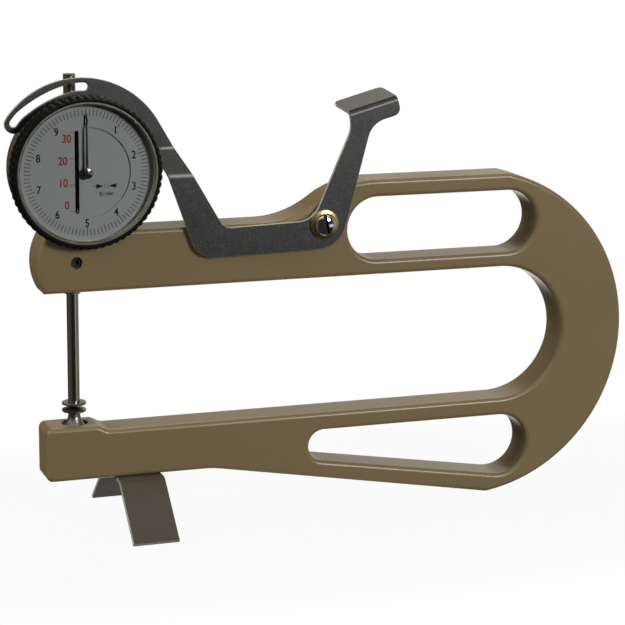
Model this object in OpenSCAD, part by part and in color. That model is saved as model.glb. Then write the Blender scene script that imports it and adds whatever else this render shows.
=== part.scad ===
// Deep-throat dial thickness gauge.
// X runs along the arms towards the back of the throat, Y away from the dial's reader, Z up.
// The gauge stands on Z = 0. The modules are drawn from the spindle's axis
// and then moved to the middle of the whole length.

/* [Frame] */
// Reach from the spindle to the back of the throat
throat_depth = 200; // [150:1:260]
// Height of the throat
throat_h = 54; // [44:1:80]
// Thickness of the casting
frame_t = 16; // [14:0.5:22]
// Rounding of the casting's edges
edge_r = 1.8; // [0.8:0.1:2.2]
// Height of the upper arm
upper_arm_h = 23; // [20:0.5:28]
// Rise of the back of the frame over the upper arm
back_rise = 14.6; // [10:0.2:18]
// Radius of the two bends that lead up to the back
rise_r = 38.5; // [28:0.5:50]
// Distance from the spindle to the start of the rise
rise_x = 73; // [60:1:80]
// Radius of the outer back curve
back_r = 66.5; // [64:0.5:80]
// Metal between the back of the throat and the outer curve
back_wall = 26.5; // [20:0.5:32]
// Distance from the back of the throat to the heel that rests on the table
heel_inset = 31.2; // [28:0.2:36]
// Radius of the upper arm's nose
nose_r = 22; // [18:0.5:30]
// Reach of the nose in front of the spindle
nose_reach = 15; // [12:0.5:18]
// Height of the lower arm's underside above the table
arm_clear = 20; // [14:0.5:30]
// Height of the lower arm at its free end
lower_arm_h = 19; // [17:0.5:24]
// Reach of the lower arm in front of the spindle
lower_reach = 12.5; // [10:0.5:16]
// Distance from the spindle to the bend in the lower arm's underside
underside_x = 53; // [40:1:64]
// Height of the raised pad that holds the anvil
pad_rise = 2; // [1:0.5:4]
// Length of the pad behind the spindle
pad_back = 7.5; // [7:0.5:12]
// Rounding of the casting's outline corners
corner_r = 2.5; // [2.2:0.1:4]

/* [Slots] */
// Height of the grip slot in the upper arm
grip_h = 24.7; // [20:0.1:26]
// Distance from the lever's pivot to the grip slot
grip_start = 10.9; // [9:0.1:20]
// Metal under the grip slot
grip_floor = 6; // [5:0.5:9]
// Metal between the grip slot and the outer back curve
grip_wall = 39; // [36:0.5:46]
// Radius of the lower slot's narrow end
lower_slot_r1 = 6.3; // [4:0.1:7]
// Radius of the lower slot's wide end
lower_slot_r2 = 12.3; // [8:0.1:13]
// Distance between the two ends' centres
lower_slot_l = 75; // [50:1:80]
// Metal between the lower slot and the outer back curve
lower_slot_wall = 40.5; // [36:0.5:46]
// Metal between the lower slot and the throat
lower_slot_roof = 7.2; // [6:0.2:9]

/* [Foot] */
// Width of the foot strip along the arm
foot_w = 18; // [14:0.5:24]
// Thickness of the foot strip
foot_t = 1.6; // [1.2:0.1:2.4]
// Half length of the flat top across the arm
foot_flat = 12; // [10:0.5:16]
// Angle of the legs below level
foot_angle = 42; // [35:1:60]
// Bend radius of the strip's middle
foot_bend_r = 4; // [2.5:0.5:6]
// Distance from the spindle to the middle of the foot
foot_x = 23.3; // [20:0.1:40]
// Diameter of the foot screws
foot_screw_d = 3; // [2.5:0.5:4]
// Distance between the foot screws
foot_screw_gap = 9; // [7:0.5:10]

/* [Spindle and anvil] */
// Diameter of the plunger
plunger_d = 4.6; // [4.2:0.1:5]
// Travel of the plunger
travel = 25; // [10:1:25]
// Diameter of the measuring faces
face_d = 9.3; // [7:0.1:10]
// Doming of the measuring faces
face_dome = 1; // [0.2:0.1:1.1]
// Thickness of the measuring discs
face_t = 1.8; // [1.5:0.1:2.4]
// Height of the anvil's face above the pad
anvil_rise = 6.4; // [5:0.1:9]
// Diameter of the anvil's shank
anvil_d = 9; // [8:0.2:10]
// Depth of the anvil's shank in the pad
anvil_depth = 14; // [8:0.5:16]
// Gap between the closed measuring faces
face_gap = 0.1; // [0.05:0.05:0.3]
// Plunger standing above the lift pin's axis
plunger_end = 4.5; // [2:0.1:6]

/* [Dial gauge] */
// Offset of the dial's centre behind the spindle
dial_x = 3.4; // [3.2:0.05:3.6]
// Height of the dial's centre above the upper arm
dial_rise = 22.9; // [20:0.1:25]
// Radius of the case
case_r = 26.3; // [26:0.1:27]
// Wall of the case
case_wall = 2; // [1.5:0.1:2.5]
// Depth of the case behind the spindle's axis
case_back = 6.2; // [5.5:0.1:6.5]
// Thickness of the back cover
cover_t = 1.4; // [1:0.1:1.6]
// Front of the dial's face, in front of the spindle's axis
dial_front = 10.2; // [9.8:0.1:10.6]
// Thickness of the dial sheet
dial_t = 0.4; // [0.3:0.1:0.6]
// Radius of the inner, fixed dial
inner_dial_r = 17; // [16.5:0.1:17.5]
// Width of the slot that shows the guide pin
dial_slot_w = 1.6; // [1.5:0.1:2]
// Length of the slot that shows the guide pin
dial_slot_l = 31; // [29:0.5:31.2]
// Diameter of the guide pin
guide_pin_d = 1.2; // [1:0.1:1.3]
// Depth of the guide pin's zero below the dial's centre
guide_zero = 14.2; // [14:0.1:14.6]
// Width of the bezel outside the case
bezel_w = 2.4; // [2:0.1:4]
// Number of scallops round the bezel
scallops = 64; // [40:2:80]
// Depth of a scallop
scallop_depth = 0.45; // [0.2:0.05:0.6]
// Depth of the bezel in front of the dial's face
bezel_depth = 4.3; // [4.1:0.1:6]
// Diameter of the stem
stem_d = 8; // [7.6:0.1:9]
// Length of the lower bush that shows under the arm
bush_show = 1.5; // [1:0.1:3]
// Distance from the pointer's tip to the rim of the scale
pointer_gap = 3.05; // [2:0.05:6]

/* [Rack and pinion] */
// Plunger travel for one turn of the pointer
turn = 10; // [10:0.1:10.6]
// Teeth of the pinion
teeth = 16; // [16:1:16]
// Side play between the teeth
tooth_play = 0.07; // [0.05:0.01:0.09]
// Diameter of the pinion's shaft
shaft_d = 1.2; // [1:0.1:1.4]

/* [Return spring] */
// Wire of the return spring
wire_d = 0.35; // [0.3:0.05:0.4]
// Outer diameter of the return spring
spring_d = 3.4; // [3:0.1:4]
// Turns of the return spring
spring_turns = 10; // [6:1:11]

/* [Lever] */
// Thickness of the lever's sheet
lever_t = 1.5; // [1.2:0.1:1.8]
// Distance from the spindle to the lever's pivot
pivot_x = 96.8; // [96:0.1:98]
// Height of the pivot above the upper arm's underside
pivot_rise = 21.8; // [20:0.1:22]
// Turn of the lever for each millimetre of lift, in degrees
lever_rate = 0.74; // [0.73:0.01:0.75]
// Gap between the lever and the casting
lever_gap = 1; // [0.6:0.1:1.4]
// Diameter of the lift pin
lift_pin_d = 1.9; // [1.6:0.1:1.9]
// Width of the slot round the lift pin
lift_slot_w = 3; // [3:0.1:3.3]
// Distance from the hook's inner edge to the middle of the slot
lift_slot_in = 3.65; // [3.5:0.05:3.9]
// Width of the lever's hook round the dial
hook_w = 7.15; // [6.8:0.05:9]
// Room between the case and the lever's hook
hook_room = 0.9; // [0.7:0.1:1.2]
// Height of the lever's level web
web_h = 11; // [9:0.5:12]
// Drop of the lever's web under its pivot
web_drop = 9.5; // [8:0.1:11]
// Distance from the case to the lever's web
web_start = 16.6; // [14:0.2:20]
// Width of the lever's slanted arm where it meets the web
arm_w = 10.4; // [8:0.1:12]
// Distance from the pivot to the middle of the thumb tab, along the lever
tab_reach = 20; // [14:0.5:26]
// Height of the thumb tab's bend above the pivot
tab_rise = 43.6; // [38:0.2:50]
// Height of the lip in front of the thumb tab
tab_lip = 5; // [4:0.1:7]
// Width of the thumb tab
tab_w = 20.5; // [16:0.5:26]
// Depth of the thumb tab
tab_depth = 16; // [12:0.5:22]
// Slope of the thumb tab along the lever
tab_slope = 15.4; // [5:0.2:25]
// Diameter of the pivot bush
pivot_d = 6; // [5:0.1:6.5]
// Diameter of the brass washer
washer_d = 11.5; // [11:0.1:13]
// Diameter of the pivot screw's head
pivot_head_d = 8.6; // [7:0.1:9]

/* [Hidden] */
$fn = 64;

// Running and seating clearances
run_gap = 0.03;
seat_gap = 0.02;
turn_gap = 0.08;
screw_gap = 0.1;
// Cutters run past the faces that they cut by this much
over = 1;

// Heights of the casting
lower_top = arm_clear + lower_arm_h;
pad_top = lower_top + pad_rise;
upper_bottom = lower_top + throat_h;
upper_top = upper_bottom + upper_arm_h;
back_top = upper_top + back_rise;
front_y = -frame_t / 2;

// Curves of the casting
throat_r = throat_h / 2;
throat_c = [throat_depth - throat_r, lower_top + throat_r];
back_cx = throat_depth + back_wall - back_r;
heel_x = throat_depth - heel_inset;
back_c = [back_cx, sqrt(pow(back_r, 2) - pow(heel_x - back_cx, 2))];
back_top_share = 0.975;
back_c2 = [back_cx, max(back_c[1], back_top - back_top_share * back_r)];
rise_angle = acos(1 - back_rise / (2 * rise_r));
rise_end = rise_x + 2 * rise_r * sin(rise_angle);
nose_drop = 0.465;
nose_c = [nose_r - nose_reach, upper_bottom + nose_drop * upper_arm_h];
pad_slope = 4;
pad_foot_r = 4;
pad_lip_r = 3.6;
underside_r = 40;

// Slots of the casting
grip_r = grip_h / 2;
grip_z = upper_bottom + grip_floor + grip_r;
grip_x2 = throat_depth + back_wall - grip_wall - grip_r;
grip_x1 = pivot_x + grip_start + grip_r;
lower_slot_x2 = throat_depth + back_wall - lower_slot_wall - lower_slot_r2;
lower_slot_z = lower_top - lower_slot_roof;

// Dial gauge, measured from its centre; fronts are negative in Y
dial_c = [dial_x, upper_top + dial_rise];
dial_y = -dial_front;
bezel_y = dial_y - bezel_depth;
bezel_back_gap = 0.6;
bezel_back_y = front_y - bezel_back_gap;
bezel_lip = 0.2;
bezel_edge = [0.7, 1.6];
dial_gap = 0.4;
case_front_y = dial_y + dial_t + dial_gap;
bore_r = case_r - case_wall;
cradle_gap = 0.15;
boss_wall = 1.5;
boss_y = -5;
boss_inset = 0.5;
lug_d = 5;
lug_y = 1;
lug_floor = 1;
plate_t = 1.4;
plate_y = -7.6;
ledge_w = 1.8;
ledge_t = 1;
ledge_back = plate_y + plate_t + ledge_t;
bridge_y = 3;
bridge_t = 1.4;
case_edge = sqrt(pow(case_r, 2) - pow(dial_x, 2));
case_bottom = dial_c[1] - case_edge;
case_top = dial_c[1] + case_edge;
scale_inset = 0.65;
scale_gap = 0.15;
scale_r = case_r - scale_inset;
bezel_r = case_r + bezel_w;
bezel_in_r = scale_r + 0.05;
crystal_r = case_r + 0.1;
crystal_t = 1;
crystal_gap = 2.5;
crystal_y = dial_y - crystal_gap;
crystal_seat = crystal_r + 0.1;
ring_r = crystal_r + 0.05;
ring_w = 1.15;
ring_top_w = 0.55;
ring_sink = 0.1;
screw_inset = 2.2;
screw_ring_r = bore_r - screw_inset;
cover_screw_d = 2;
cover_screw_l = 3.6;
cover_head_t = 0.6;
cover_step = 0.7;

// Pointer and the inner dial's feet
pointer_l = scale_r - pointer_gap;
pointer_y = dial_y - 1.9;
pointer_t = 0.3;
pointer_half = 0.5;
pointer_tip = [0.22, 1.2];
pointer_tail = [0.55, 1];
hub_d = 3;
hub_span = [dial_y - 2.1, dial_y - 0.7];
dial_foot = [9, 10];
dial_foot_d = 1.6;
dial_foot_collar = 2.6;

// Bridge
pillar_at = [12, 8];
pillar_d = 4;
small_screw_d = 1.6;
small_screw_l = 3.2;
small_hole = 4;
small_head_d = 3;
small_head_t = 0.9;
small_slot = [0.5, 0.4];
bridge_half = 4;
bridge_nose = 2.4;
bridge_edge = [2.6, 3.4];

// Fastenings of the casting
foot_hole = 8;
foot_screw_in = 7;
foot_head_t = 1.8;
foot_slot = [0.8, 0.9];
pivot_hole = 10;
pivot_screw_in = 9;
socket_t = 1.4;
anvil_screw_sink = 0.6;
stem_screw_sink = 1.1;

// Lever's hook round the case
hook_in_r = case_r + hook_room;
hook_r = hook_in_r + hook_w;
hook_shift = 0.35;
hook_c = dial_c - [hook_shift, 0];
hook_end = 144.2;
lift_slot_r = hook_in_r + lift_slot_in;
lift_play = 0.1;

// Plunger, stem and bushes
anvil_top = pad_top + anvil_rise;
contact_z = anvil_top + face_gap;
plunger_z = contact_z + face_t;
lift_z = dial_c[1] + lift_slot_r + lift_play;
plunger_top = lift_z + plunger_end;
stem_in = 5;
stem_top = case_bottom + stem_in;
stem_play = 0.2;
bush_wall = 0.7;
bush_d = plunger_d + 2 * bush_wall;
bush_l = 9;
upper_bush_wall = 0.9;
upper_bush_d = plunger_d + 2 * upper_bush_wall;
upper_bush_in = 3;
upper_bush_z = case_top - case_wall - upper_bush_in;
upper_bush_show = 0.3;
pin_depth = 0.6;
guide_pin_over = 0.5;
lift_pin_depth = 1;
clamp_z = upper_bottom + upper_arm_h / 2;
clamp_d = 4;
hex_af = 2;

// Measuring faces
face_edge = 0.2;
dome_steps = 4;
shank_edge = 0.6;
anvil_sink = 1.2;
anvil_collar = 1.2;
flare_sink = 1.2;

// Rack and pinion
pitch = turn / teeth;
pitch_r = turn / (2 * PI);
module_mm = pitch / PI;
tip_r = pitch_r + module_mm;
root_depth = 1.25 * module_mm;
root_r = pitch_r - root_depth;
tip_slope = 0.075;
pinion_slope = 0.07;
rack_slope = 0.09;
rack_x = dial_x - pitch_r;
rack_spare = 6;
rack_teeth = ceil((travel + rack_spare) / pitch);
rack_ahead = 5;
pinion_l = 3.4;
pinion_hub_y = -4.4;
shaft_show = 0.1;
shaft_over = 0.3;
bearing_wall = 0.9;
bearing_d = shaft_d + 2 * bearing_wall;

// Return spring
spring_x = -6.6;
spring_pin_d = 1.4;
spring_low = dial_c[1] - sqrt(pow(bore_r - ledge_w - spring_pin_d, 2) - pow(dial_x - spring_x, 2));
spring_drop = 8;
spring_high = dial_c[1] - spring_drop;
spring_pin_over = 1.6;
spring_post_over = 0.8;
spring_collar = [0.8, 1];
hook_gap = 0.1;
coil_gap = 1;
coil_steps = 8;

// Lever
pivot = [pivot_x, upper_bottom + pivot_rise];
lever_y = front_y - lever_gap;
hook_room_y = 0.8;
hook_y = -plunger_d / 2 - hook_room_y;
lift_pin = [0, lift_z];
lift_pin_over = 0.7;
lever_play = 0.1;
bush_t = lever_gap - lever_play;
bush_flange = 3;
washer_y = lever_y - lever_t - lever_play;
washer_t = 1;
washer_rim = [[0, 0.4], [0.5, 0.85]];
head_seat = 0.5;
head_t = 2.4;
head_slot = [1.2, 1.1, -14];
joggle_low = 2.9;
joggle_high = 6.5;
joggle_z1 = dial_c[1] - joggle_low;
joggle_z2 = dial_c[1] + joggle_high;
joggle_r = 1.8;
lever_split = 70;
tab_mid = pivot + [tab_reach, tab_rise];
tab_bend_r = 1.6;
tab_tilt = 6;
tab_corner_r = 3;
pivot_screw_d = 4;

// Unit vectors, arcs and outlines
function unit(v) = v / norm(v);
function left(v) = [-v[1], v[0]];
function spin(v, a) = [v[0] * cos(a) - v[1] * sin(a), v[0] * sin(a) + v[1] * cos(a)];
function toward(a) = [cos(a), sin(a)];
function arc(c, r, a0, a1, n) = [for (i = [0:n]) c + r * toward(a0 + (a1 - a0) * i / n)];
function flat(list) = [for (part = list) for (p = part) p];
function reverse(list) = [for (i = [len(list) - 1:-1:0]) list[i]];

// One corner q of an outline between p and s, rounded by r
function corner(p, q, s, r, n) =
    let (u = unit(p - q), v = unit(s - q), half = acos(u * v) / 2, c = q + unit(u + v) * r / sin(half),
        t = r / tan(half), d0 = q + u * t - c, d1 = q + v * t - c,
        a0 = atan2(d0[1], d0[0]), sweep = (atan2(d1[1], d1[0]) - a0 + 540) % 360 - 180)
    arc(c, r, a0, a0 + sweep, n);

function spot(p) = [p[0], p[1]];
function radius(p) = len(p) > 2 ? p[2] : 0;

// A closed outline of [x, z] or [x, z, radius] corners with its corners rounded
function rounded(list, n = 5) = flat([for (i = [0:len(list) - 1])
    let (k = len(list), p = spot(list[(i + k - 1) % k]), q = spot(list[i]), s = spot(list[(i + 1) % k]))
    radius(list[i]) > 0 ? corner(p, q, s, radius(list[i]), n) : [q]]);

// An open line with its inner corners rounded by r
function bent(list, r, n = 6) = flat([for (i = [0:len(list) - 1])
    i == 0 || i == len(list) - 1 ? [list[i]] : corner(list[i - 1], list[i], list[i + 1], r, n)]);

// An open line moved sideways by d, to its left
function beside(line, d) = [for (i = [0:len(line) - 1])
    let (a = left(unit(line[max(i, 1)] - line[max(i, 1) - 1])),
        b = left(unit(line[min(i + 1, len(line) - 1)] - line[min(i, len(line) - 2)])))
    line[i] + d * (a + b) / (1 + a * b)];

// A sheet's edge-on profile: a line with a thickness
function strip(line, t) = concat(beside(line, t / 2), reverse(beside(line, -t / 2)));

// A line with a width and round ends
function band(line, w, n = 8) =
    let (k = len(line) - 1, d0 = line[0] - line[1], d1 = line[k] - line[k - 1],
        a0 = atan2(d0[1], d0[0]), a1 = atan2(d1[1], d1[0]))
    concat(beside(line, -w / 2), arc(line[k], w / 2, a1 - 90, a1 + 90, n), reverse(beside(line, w / 2)),
        arc(line[0], w / 2, a0 - 90, a0 + 90, n));

// A closed anticlockwise outline moved inwards by d
function inset(loop, d) = [for (i = [0:len(loop) - 1])
    let (k = len(loop), a = left(unit(loop[i] - loop[(i + k - 1) % k])),
        b = left(unit(loop[(i + 1) % k] - loop[i])))
    loop[i] + d * (a + b) / (1 + a * b)];

// Loft through equal loops: each level is [y, loop]
module loft(levels) {
    n = len(levels[0][1]);
    m = len(levels);
    polyhedron(
        points = [for (level = levels) for (p = level[1]) [p[0], level[0], p[1]]],
        faces = concat([[for (i = [n - 1:-1:0]) i]], [[for (i = [0:n - 1]) (m - 1) * n + i]],
            [for (j = [0:m - 2]) for (i = [0:n - 1]) let (k = (i + 1) % n)
                [j * n + i, j * n + k, (j + 1) * n + k]],
            [for (j = [0:m - 2]) for (i = [0:n - 1]) let (k = (i + 1) % n)
                [j * n + i, (j + 1) * n + k, (j + 1) * n + i]]));
}

// A rounded edge in flat steps, as [inset, depth] from the face; its end steps run past the face and the wall
edge_reach = 0.2;
edge_out = 0.6;
function edge_steps(r, n) = let (slip = edge_reach * tan(45 / n)) concat([[r + edge_reach, -slip]],
    [for (i = [1:n - 1]) r * [1 - sin(90 * i / n), 1 - cos(90 * i / n)]], [[-slip, r + edge_reach]]);

// The cutter that rounds an outline's edge on one face of a plate: a closed tube of flat-sided mitred runs
module edge_cutter(loop, t, r, side, n = 3) {
    section = concat(edge_steps(r, n), [[-edge_out, -edge_out]]);
    rings = [for (p = section) inset(loop, p[0])];
    k = len(loop);
    m = len(section);
    polyhedron(
        points = [for (j = [0:m - 1]) for (p = rings[j]) [p[0], side * (t / 2 - section[j][1]), p[1]]],
        faces = [for (j = [0:m - 1]) for (i = [0:k - 1])
            let (next = (i + 1) % k, above = ((j + 1) % m) * k,
                a = j * k + i, b = j * k + next, c = above + next, d = above + i)
            side > 0 ? [a, b, c, d] : [a, d, c, b]]);
}

// The cutter for a convex hole whose edges are rounded by r on both faces of a plate of thickness t
module rounded_hole(loop, t, r, n = 3) {
    steps = concat([[r + edge_reach, -over]], [for (i = [0:n - 1]) edge_steps(r, n)[i]], [[0, r]]);
    loft(concat([for (p = steps) [-t / 2 + p[1], inset(loop, -p[0])]],
        [for (p = reverse(steps)) [t / 2 - p[1], inset(loop, -p[0])]]));
}

// A round-ended slot's outline between circles r1 at p and r2 at q
function slot_loop(p, q, r1, r2, n = 12) =
    let (d = q - p, a = atan2(d[1], d[0]), t = acos((r1 - r2) / norm(d)))
    concat(arc(p, r1, a + t, a + 360 - t, n), arc(q, r2, a - t, a + t, n));

// Placing: flat shapes in X and Z become plates between two Y values; profiles in Y and Z run along X
module plate(y0, y1) translate([0, y1, 0]) rotate([90, 0, 0]) linear_extrude(y1 - y0) children();
module along_x(x0, x1) translate([x0, 0, 0]) rotate([90, 0, 90]) linear_extrude(x1 - x0) children();
module rod_y(p, y0, y1, d) translate([p[0], y0, p[1]]) rotate([-90, 0, 0]) cylinder(d = d, h = y1 - y0);
module rod_z(z0, z1, d) translate([0, 0, z0]) cylinder(d = d, h = z1 - z0);
module turned_y(p) translate([p[0], 0, p[1]]) rotate([90, 0, 0]) rotate_extrude() children();
module socket(d, depth) cylinder(d = d, h = depth, $fn = 6);

// Where the lift pin runs in the lever at rest: its path as the lever turns back by the lift.
// The slot keeps halfway between this path and a plain arc about the dial's centre.
slot_lead = 8.4;
slot_steps = 14;
function pin_spot(z) = pivot + spin(lift_pin + [0, z] - pivot, lever_rate * z);
function slot_spot(z) = let (d = pin_spot(z) - dial_c) dial_c + unit(d) * (norm(d) + lift_slot_r) / 2;
function slot_turn(z, a) = dial_c + spin(slot_spot(z) - dial_c, a);
slot_last = slot_spot(travel) - dial_c;
slot_rest = max(1, hook_end - atan2(slot_last[1], slot_last[0]));
slot_line = concat([for (i = [3:-1:1]) slot_turn(0, -slot_lead * i / 3)],
    [for (i = [0:slot_steps]) slot_spot(travel * i / slot_steps)],
    [for (i = [1:4]) slot_turn(travel, slot_rest * i / 4)]);

// The whole length runs from the lever's tip to the back curve
tip_x = hook_c[0] + (hook_r + hook_in_r) / 2 * cos(hook_end) - (hook_r - hook_in_r) / 2;
spindle_x = -(tip_x + throat_depth + back_wall) / 2;
module at_spindle() translate([spindle_x, 0, 0]) children();

// Casting
frame_loop = rounded(concat(
    arc(back_c, back_r, atan2(-back_c[1], heel_x - back_c[0]), 0, 15),
    back_c2[1] > back_c[1] + 0.01 ? [back_c2 + [back_r, 0]] : [],
    [for (i = [1:14]) arc(back_c2, back_r, 0, asin((back_top - back_c2[1]) / back_r), 14)[i]],
    arc([rise_end, back_top - rise_r], rise_r, 90, 90 + rise_angle, 6),
    [for (i = [1:6]) arc([rise_x, upper_top + rise_r], rise_r, rise_angle - 90, -90, 6)[i]],
    arc(nose_c, nose_r, 180 - asin((upper_top - nose_c[1]) / nose_r),
        180 + asin((nose_c[1] - upper_bottom) / nose_r), 8),
    arc(throat_c, throat_r, 90, -90, 24),
    [[pad_back + pad_slope, lower_top, pad_foot_r], [pad_back, pad_top, pad_lip_r],
        [-lower_reach, pad_top, corner_r], [-lower_reach, arm_clear, corner_r],
        [underside_x, arm_clear, underside_r]]));

module casting() difference() {
    plate(front_y, -front_y) polygon(frame_loop);
    edge_cutter(frame_loop, frame_t, edge_r, -1);
    edge_cutter(frame_loop, frame_t, edge_r, 1);
    rounded_hole(slot_loop([grip_x1, grip_z], [grip_x2, grip_z], grip_r, grip_r), frame_t, edge_r);
    rounded_hole(slot_loop([lower_slot_x2 - lower_slot_l, lower_slot_z - lower_slot_r1],
        [lower_slot_x2, lower_slot_z - lower_slot_r2], lower_slot_r1, lower_slot_r2), frame_t, edge_r);
}

module frame() color("#6c5e44") at_spindle() difference() {
    casting();
    rod_y(dial_c, -frame_t, frame_t, 2 * (case_r + cradle_gap));
    rod_z(upper_bottom - over, upper_top + over, stem_d + 2 * seat_gap);
    rod_y([0, clamp_z], -frame_t, 0, clamp_d + 2 * seat_gap);
    rod_z(pad_top - anvil_depth - over, pad_top + over, anvil_d + 2 * seat_gap);
    translate([0, 0, pad_top - anvil_sink / 2])
        cylinder(d1 = anvil_d, d2 = anvil_d + 2 * anvil_sink, h = anvil_sink);
    rod_y([0, pad_top - anvil_depth / 2], 0, frame_t, clamp_d + 2 * seat_gap);
    rod_y(pivot, -frame_t, front_y + pivot_hole, pivot_screw_d + 2 * seat_gap);
    for (side = [-1, 1]) translate([foot_x + side * foot_screw_gap / 2, 0, arm_clear - over])
        cylinder(d = foot_screw_d + 2 * seat_gap, h = foot_hole + over);
}

// Foot: a strip bent into a flat top and two splayed legs
foot_top = arm_clear - foot_t / 2;
foot_run = (foot_top - foot_t / 2 * cos(foot_angle)) / tan(foot_angle);
foot_end = [foot_flat + foot_run, foot_t / 2 * cos(foot_angle)];
foot_line = bent([[-foot_end[0], foot_end[1]], [-foot_flat, foot_top], [foot_flat, foot_top], foot_end],
    foot_bend_r);

module foot() color("#56534a") at_spindle() difference() {
    along_x(foot_x - foot_w / 2, foot_x + foot_w / 2) polygon(strip(foot_line, foot_t));
    for (side = [-1, 1]) translate([foot_x + side * foot_screw_gap / 2, 0, 0])
        rod_z(arm_clear - foot_t - over, arm_clear + over, foot_screw_d + 2 * screw_gap);
}

module foot_screws() color("#8a8a86") at_spindle() for (side = [-1, 1])
    translate([foot_x + side * foot_screw_gap / 2, 0, arm_clear - foot_t]) {
        cylinder(d = foot_screw_d, h = foot_t + foot_screw_in);
        translate([0, 0, -foot_head_t]) difference() {
            cylinder(d1 = 1.5 * foot_screw_d, d2 = 1.9 * foot_screw_d, h = foot_head_t);
            translate([-foot_screw_d, -foot_slot[0] / 2, -over])
                cube([2 * foot_screw_d, foot_slot[0], foot_slot[1] + over]);
        }
    }

// A domed measuring face, from its middle out to its rim
dome_side = [for (i = [0:dome_steps])
    [face_d / 2 * i / dome_steps, face_dome * pow(i / dome_steps, 2)]];

// Anvil: a domed disc on a waisted neck over a shank
neck_top = anvil_rise - face_t;
waist_z = neck_top - anvil_collar;
flare_h = waist_z + flare_sink;
anvil_side = concat(
    [[0, -anvil_depth], [anvil_d / 2 - shank_edge, -anvil_depth],
        [anvil_d / 2, shank_edge - anvil_depth], [anvil_d / 2, -flare_sink]],
    [for (i = [1:5])
        [(plunger_d + (anvil_d - plunger_d) * pow(1 - i / 5, 2)) / 2, flare_h * i / 5 - flare_sink]],
    [[plunger_d / 2, neck_top], [face_d / 2 - face_edge, neck_top], [face_d / 2, neck_top + face_edge]],
    [for (p = reverse(dome_side)) [p[0], anvil_rise - p[1]]]);

module anvil() color("#777670") at_spindle() translate([0, 0, pad_top]) rotate_extrude() polygon(anvil_side);

// A headless clamp screw along Y with its hexagon socket at y0
module clamp_screw(p, y0, y1) difference() {
    rod_y(p, min(y0, y1), max(y0, y1), clamp_d);
    translate([p[0], y0, p[1]]) rotate([y1 > y0 ? -90 : 90, 0, 0]) translate([0, 0, -over])
        socket(hex_af / cos(30), socket_t + over);
}

module anvil_clamp_screw() color("#2b2b2b") at_spindle()
    clamp_screw([0, pad_top - anvil_depth / 2], frame_t / 2 - anvil_screw_sink, anvil_d / 2 + seat_gap);
module stem_clamp_screw() color("#2b2b2b") at_spindle()
    clamp_screw([0, clamp_z], front_y + stem_screw_sink, -stem_d / 2 - seat_gap);

// Case: a ring with a ledge for the movement plate, bosses for stem and bush and lugs for the cover's screws
cover_angles = [45, 135, 225, 315];
function cover_spot(a) = dial_c + screw_ring_r * toward(a);

module case() color("#6f6c63") at_spindle() difference() {
    union() {
        difference() {
            rod_y(dial_c, case_front_y, case_back, 2 * case_r);
            rod_y(dial_c, case_front_y - over, plate_y + plate_t, 2 * bore_r);
            rod_y(dial_c, plate_y + plate_t - over, ledge_back + over, 2 * (bore_r - ledge_w));
            rod_y(dial_c, ledge_back, case_back + over, 2 * bore_r);
        }
        intersection() {
            rod_y(dial_c, boss_y, case_back, 2 * (case_r - boss_inset));
            union() {
                rod_z(case_bottom - over, stem_top, stem_d + 2 * boss_wall);
                rod_z(upper_bush_z, case_top + over, upper_bush_d + 2 * boss_wall);
            }
        }
        intersection() {
            rod_y(dial_c, lug_y, case_back, 2 * (case_r - boss_inset));
            union() for (a = cover_angles) rod_y(cover_spot(a), lug_y, case_back, lug_d);
        }
    }
    rod_z(case_bottom - case_wall, stem_top + over, stem_d + 2 * seat_gap);
    rod_z(upper_bush_z - over, case_top + case_wall, upper_bush_d + 2 * seat_gap);
    for (a = cover_angles)
        rod_y(cover_spot(a), lug_y + lug_floor, case_back + over, cover_screw_d + 2 * seat_gap);
}

module stem() color("#8d8b84") at_spindle() difference() {
    rod_z(upper_bottom, stem_top, stem_d);
    rod_z(upper_bottom - over, stem_top + over, plunger_d + 2 * stem_play);
    rod_z(upper_bottom - over, upper_bottom + bush_l - bush_show, bush_d + 2 * seat_gap);
}

module lower_bush() color("#9a978e") at_spindle() difference() {
    rod_z(upper_bottom - bush_show, upper_bottom - bush_show + bush_l, bush_d);
    rod_z(upper_bottom - bush_show - over, upper_bottom + bush_l, plunger_d + 2 * run_gap);
}

module upper_bush() color("#9a978e") at_spindle() difference() {
    rod_z(upper_bush_z, case_top + upper_bush_show, upper_bush_d);
    rod_z(upper_bush_z - over, case_top + over, plunger_d + 2 * run_gap);
}

// Back cover: a disc with a shallow raised middle
module back_cover() color("#55534d") at_spindle() difference() {
    turned_y(dial_c) translate([0, -case_back]) polygon([[0, -cover_t], [0.66 * case_r, -cover_t],
        [0.72 * case_r, -cover_step * cover_t], [case_r - 0.5, -cover_step * cover_t],
        [case_r, -0.3 * cover_t], [case_r, 0], [0, 0]]);
    for (a = cover_angles)
        rod_y(cover_spot(a), case_back - over, case_back + cover_t + over, cover_screw_d + 2 * screw_gap);
}

module cover_screws() color("#8a8a86") at_spindle() for (a = cover_angles) {
    p = cover_spot(a);
    top = case_back + cover_step * cover_t;
    rod_y(p, top - cover_screw_l, top, cover_screw_d);
    difference() {
        rod_y(p, top, top + cover_head_t, 1.8 * cover_screw_d);
        translate([p[0], top + cover_head_t / 2, p[1]]) rotate([0, a, 0])
            translate([-1.5 * cover_screw_d, 0, -cover_screw_d / 8])
                cube([3 * cover_screw_d, over, cover_screw_d / 4]);
    }
}

// Movement plate with the guide pin's slot, and two pillars for the bridge
pillar_spots = [for (side = [1, -1]) dial_c + [pillar_at[0], side * pillar_at[1]]];
dial_foot_spots = [for (side = [1, -1]) dial_c + [dial_foot[0], side * dial_foot[1]]];
guide_room = 0.5;
guide_low = dial_c[1] - guide_zero - guide_pin_d / 2 - guide_room;
function guide_slot(w) = band([[0, guide_low + w / 2], [0, guide_low + dial_slot_l - w / 2]], w);

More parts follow.
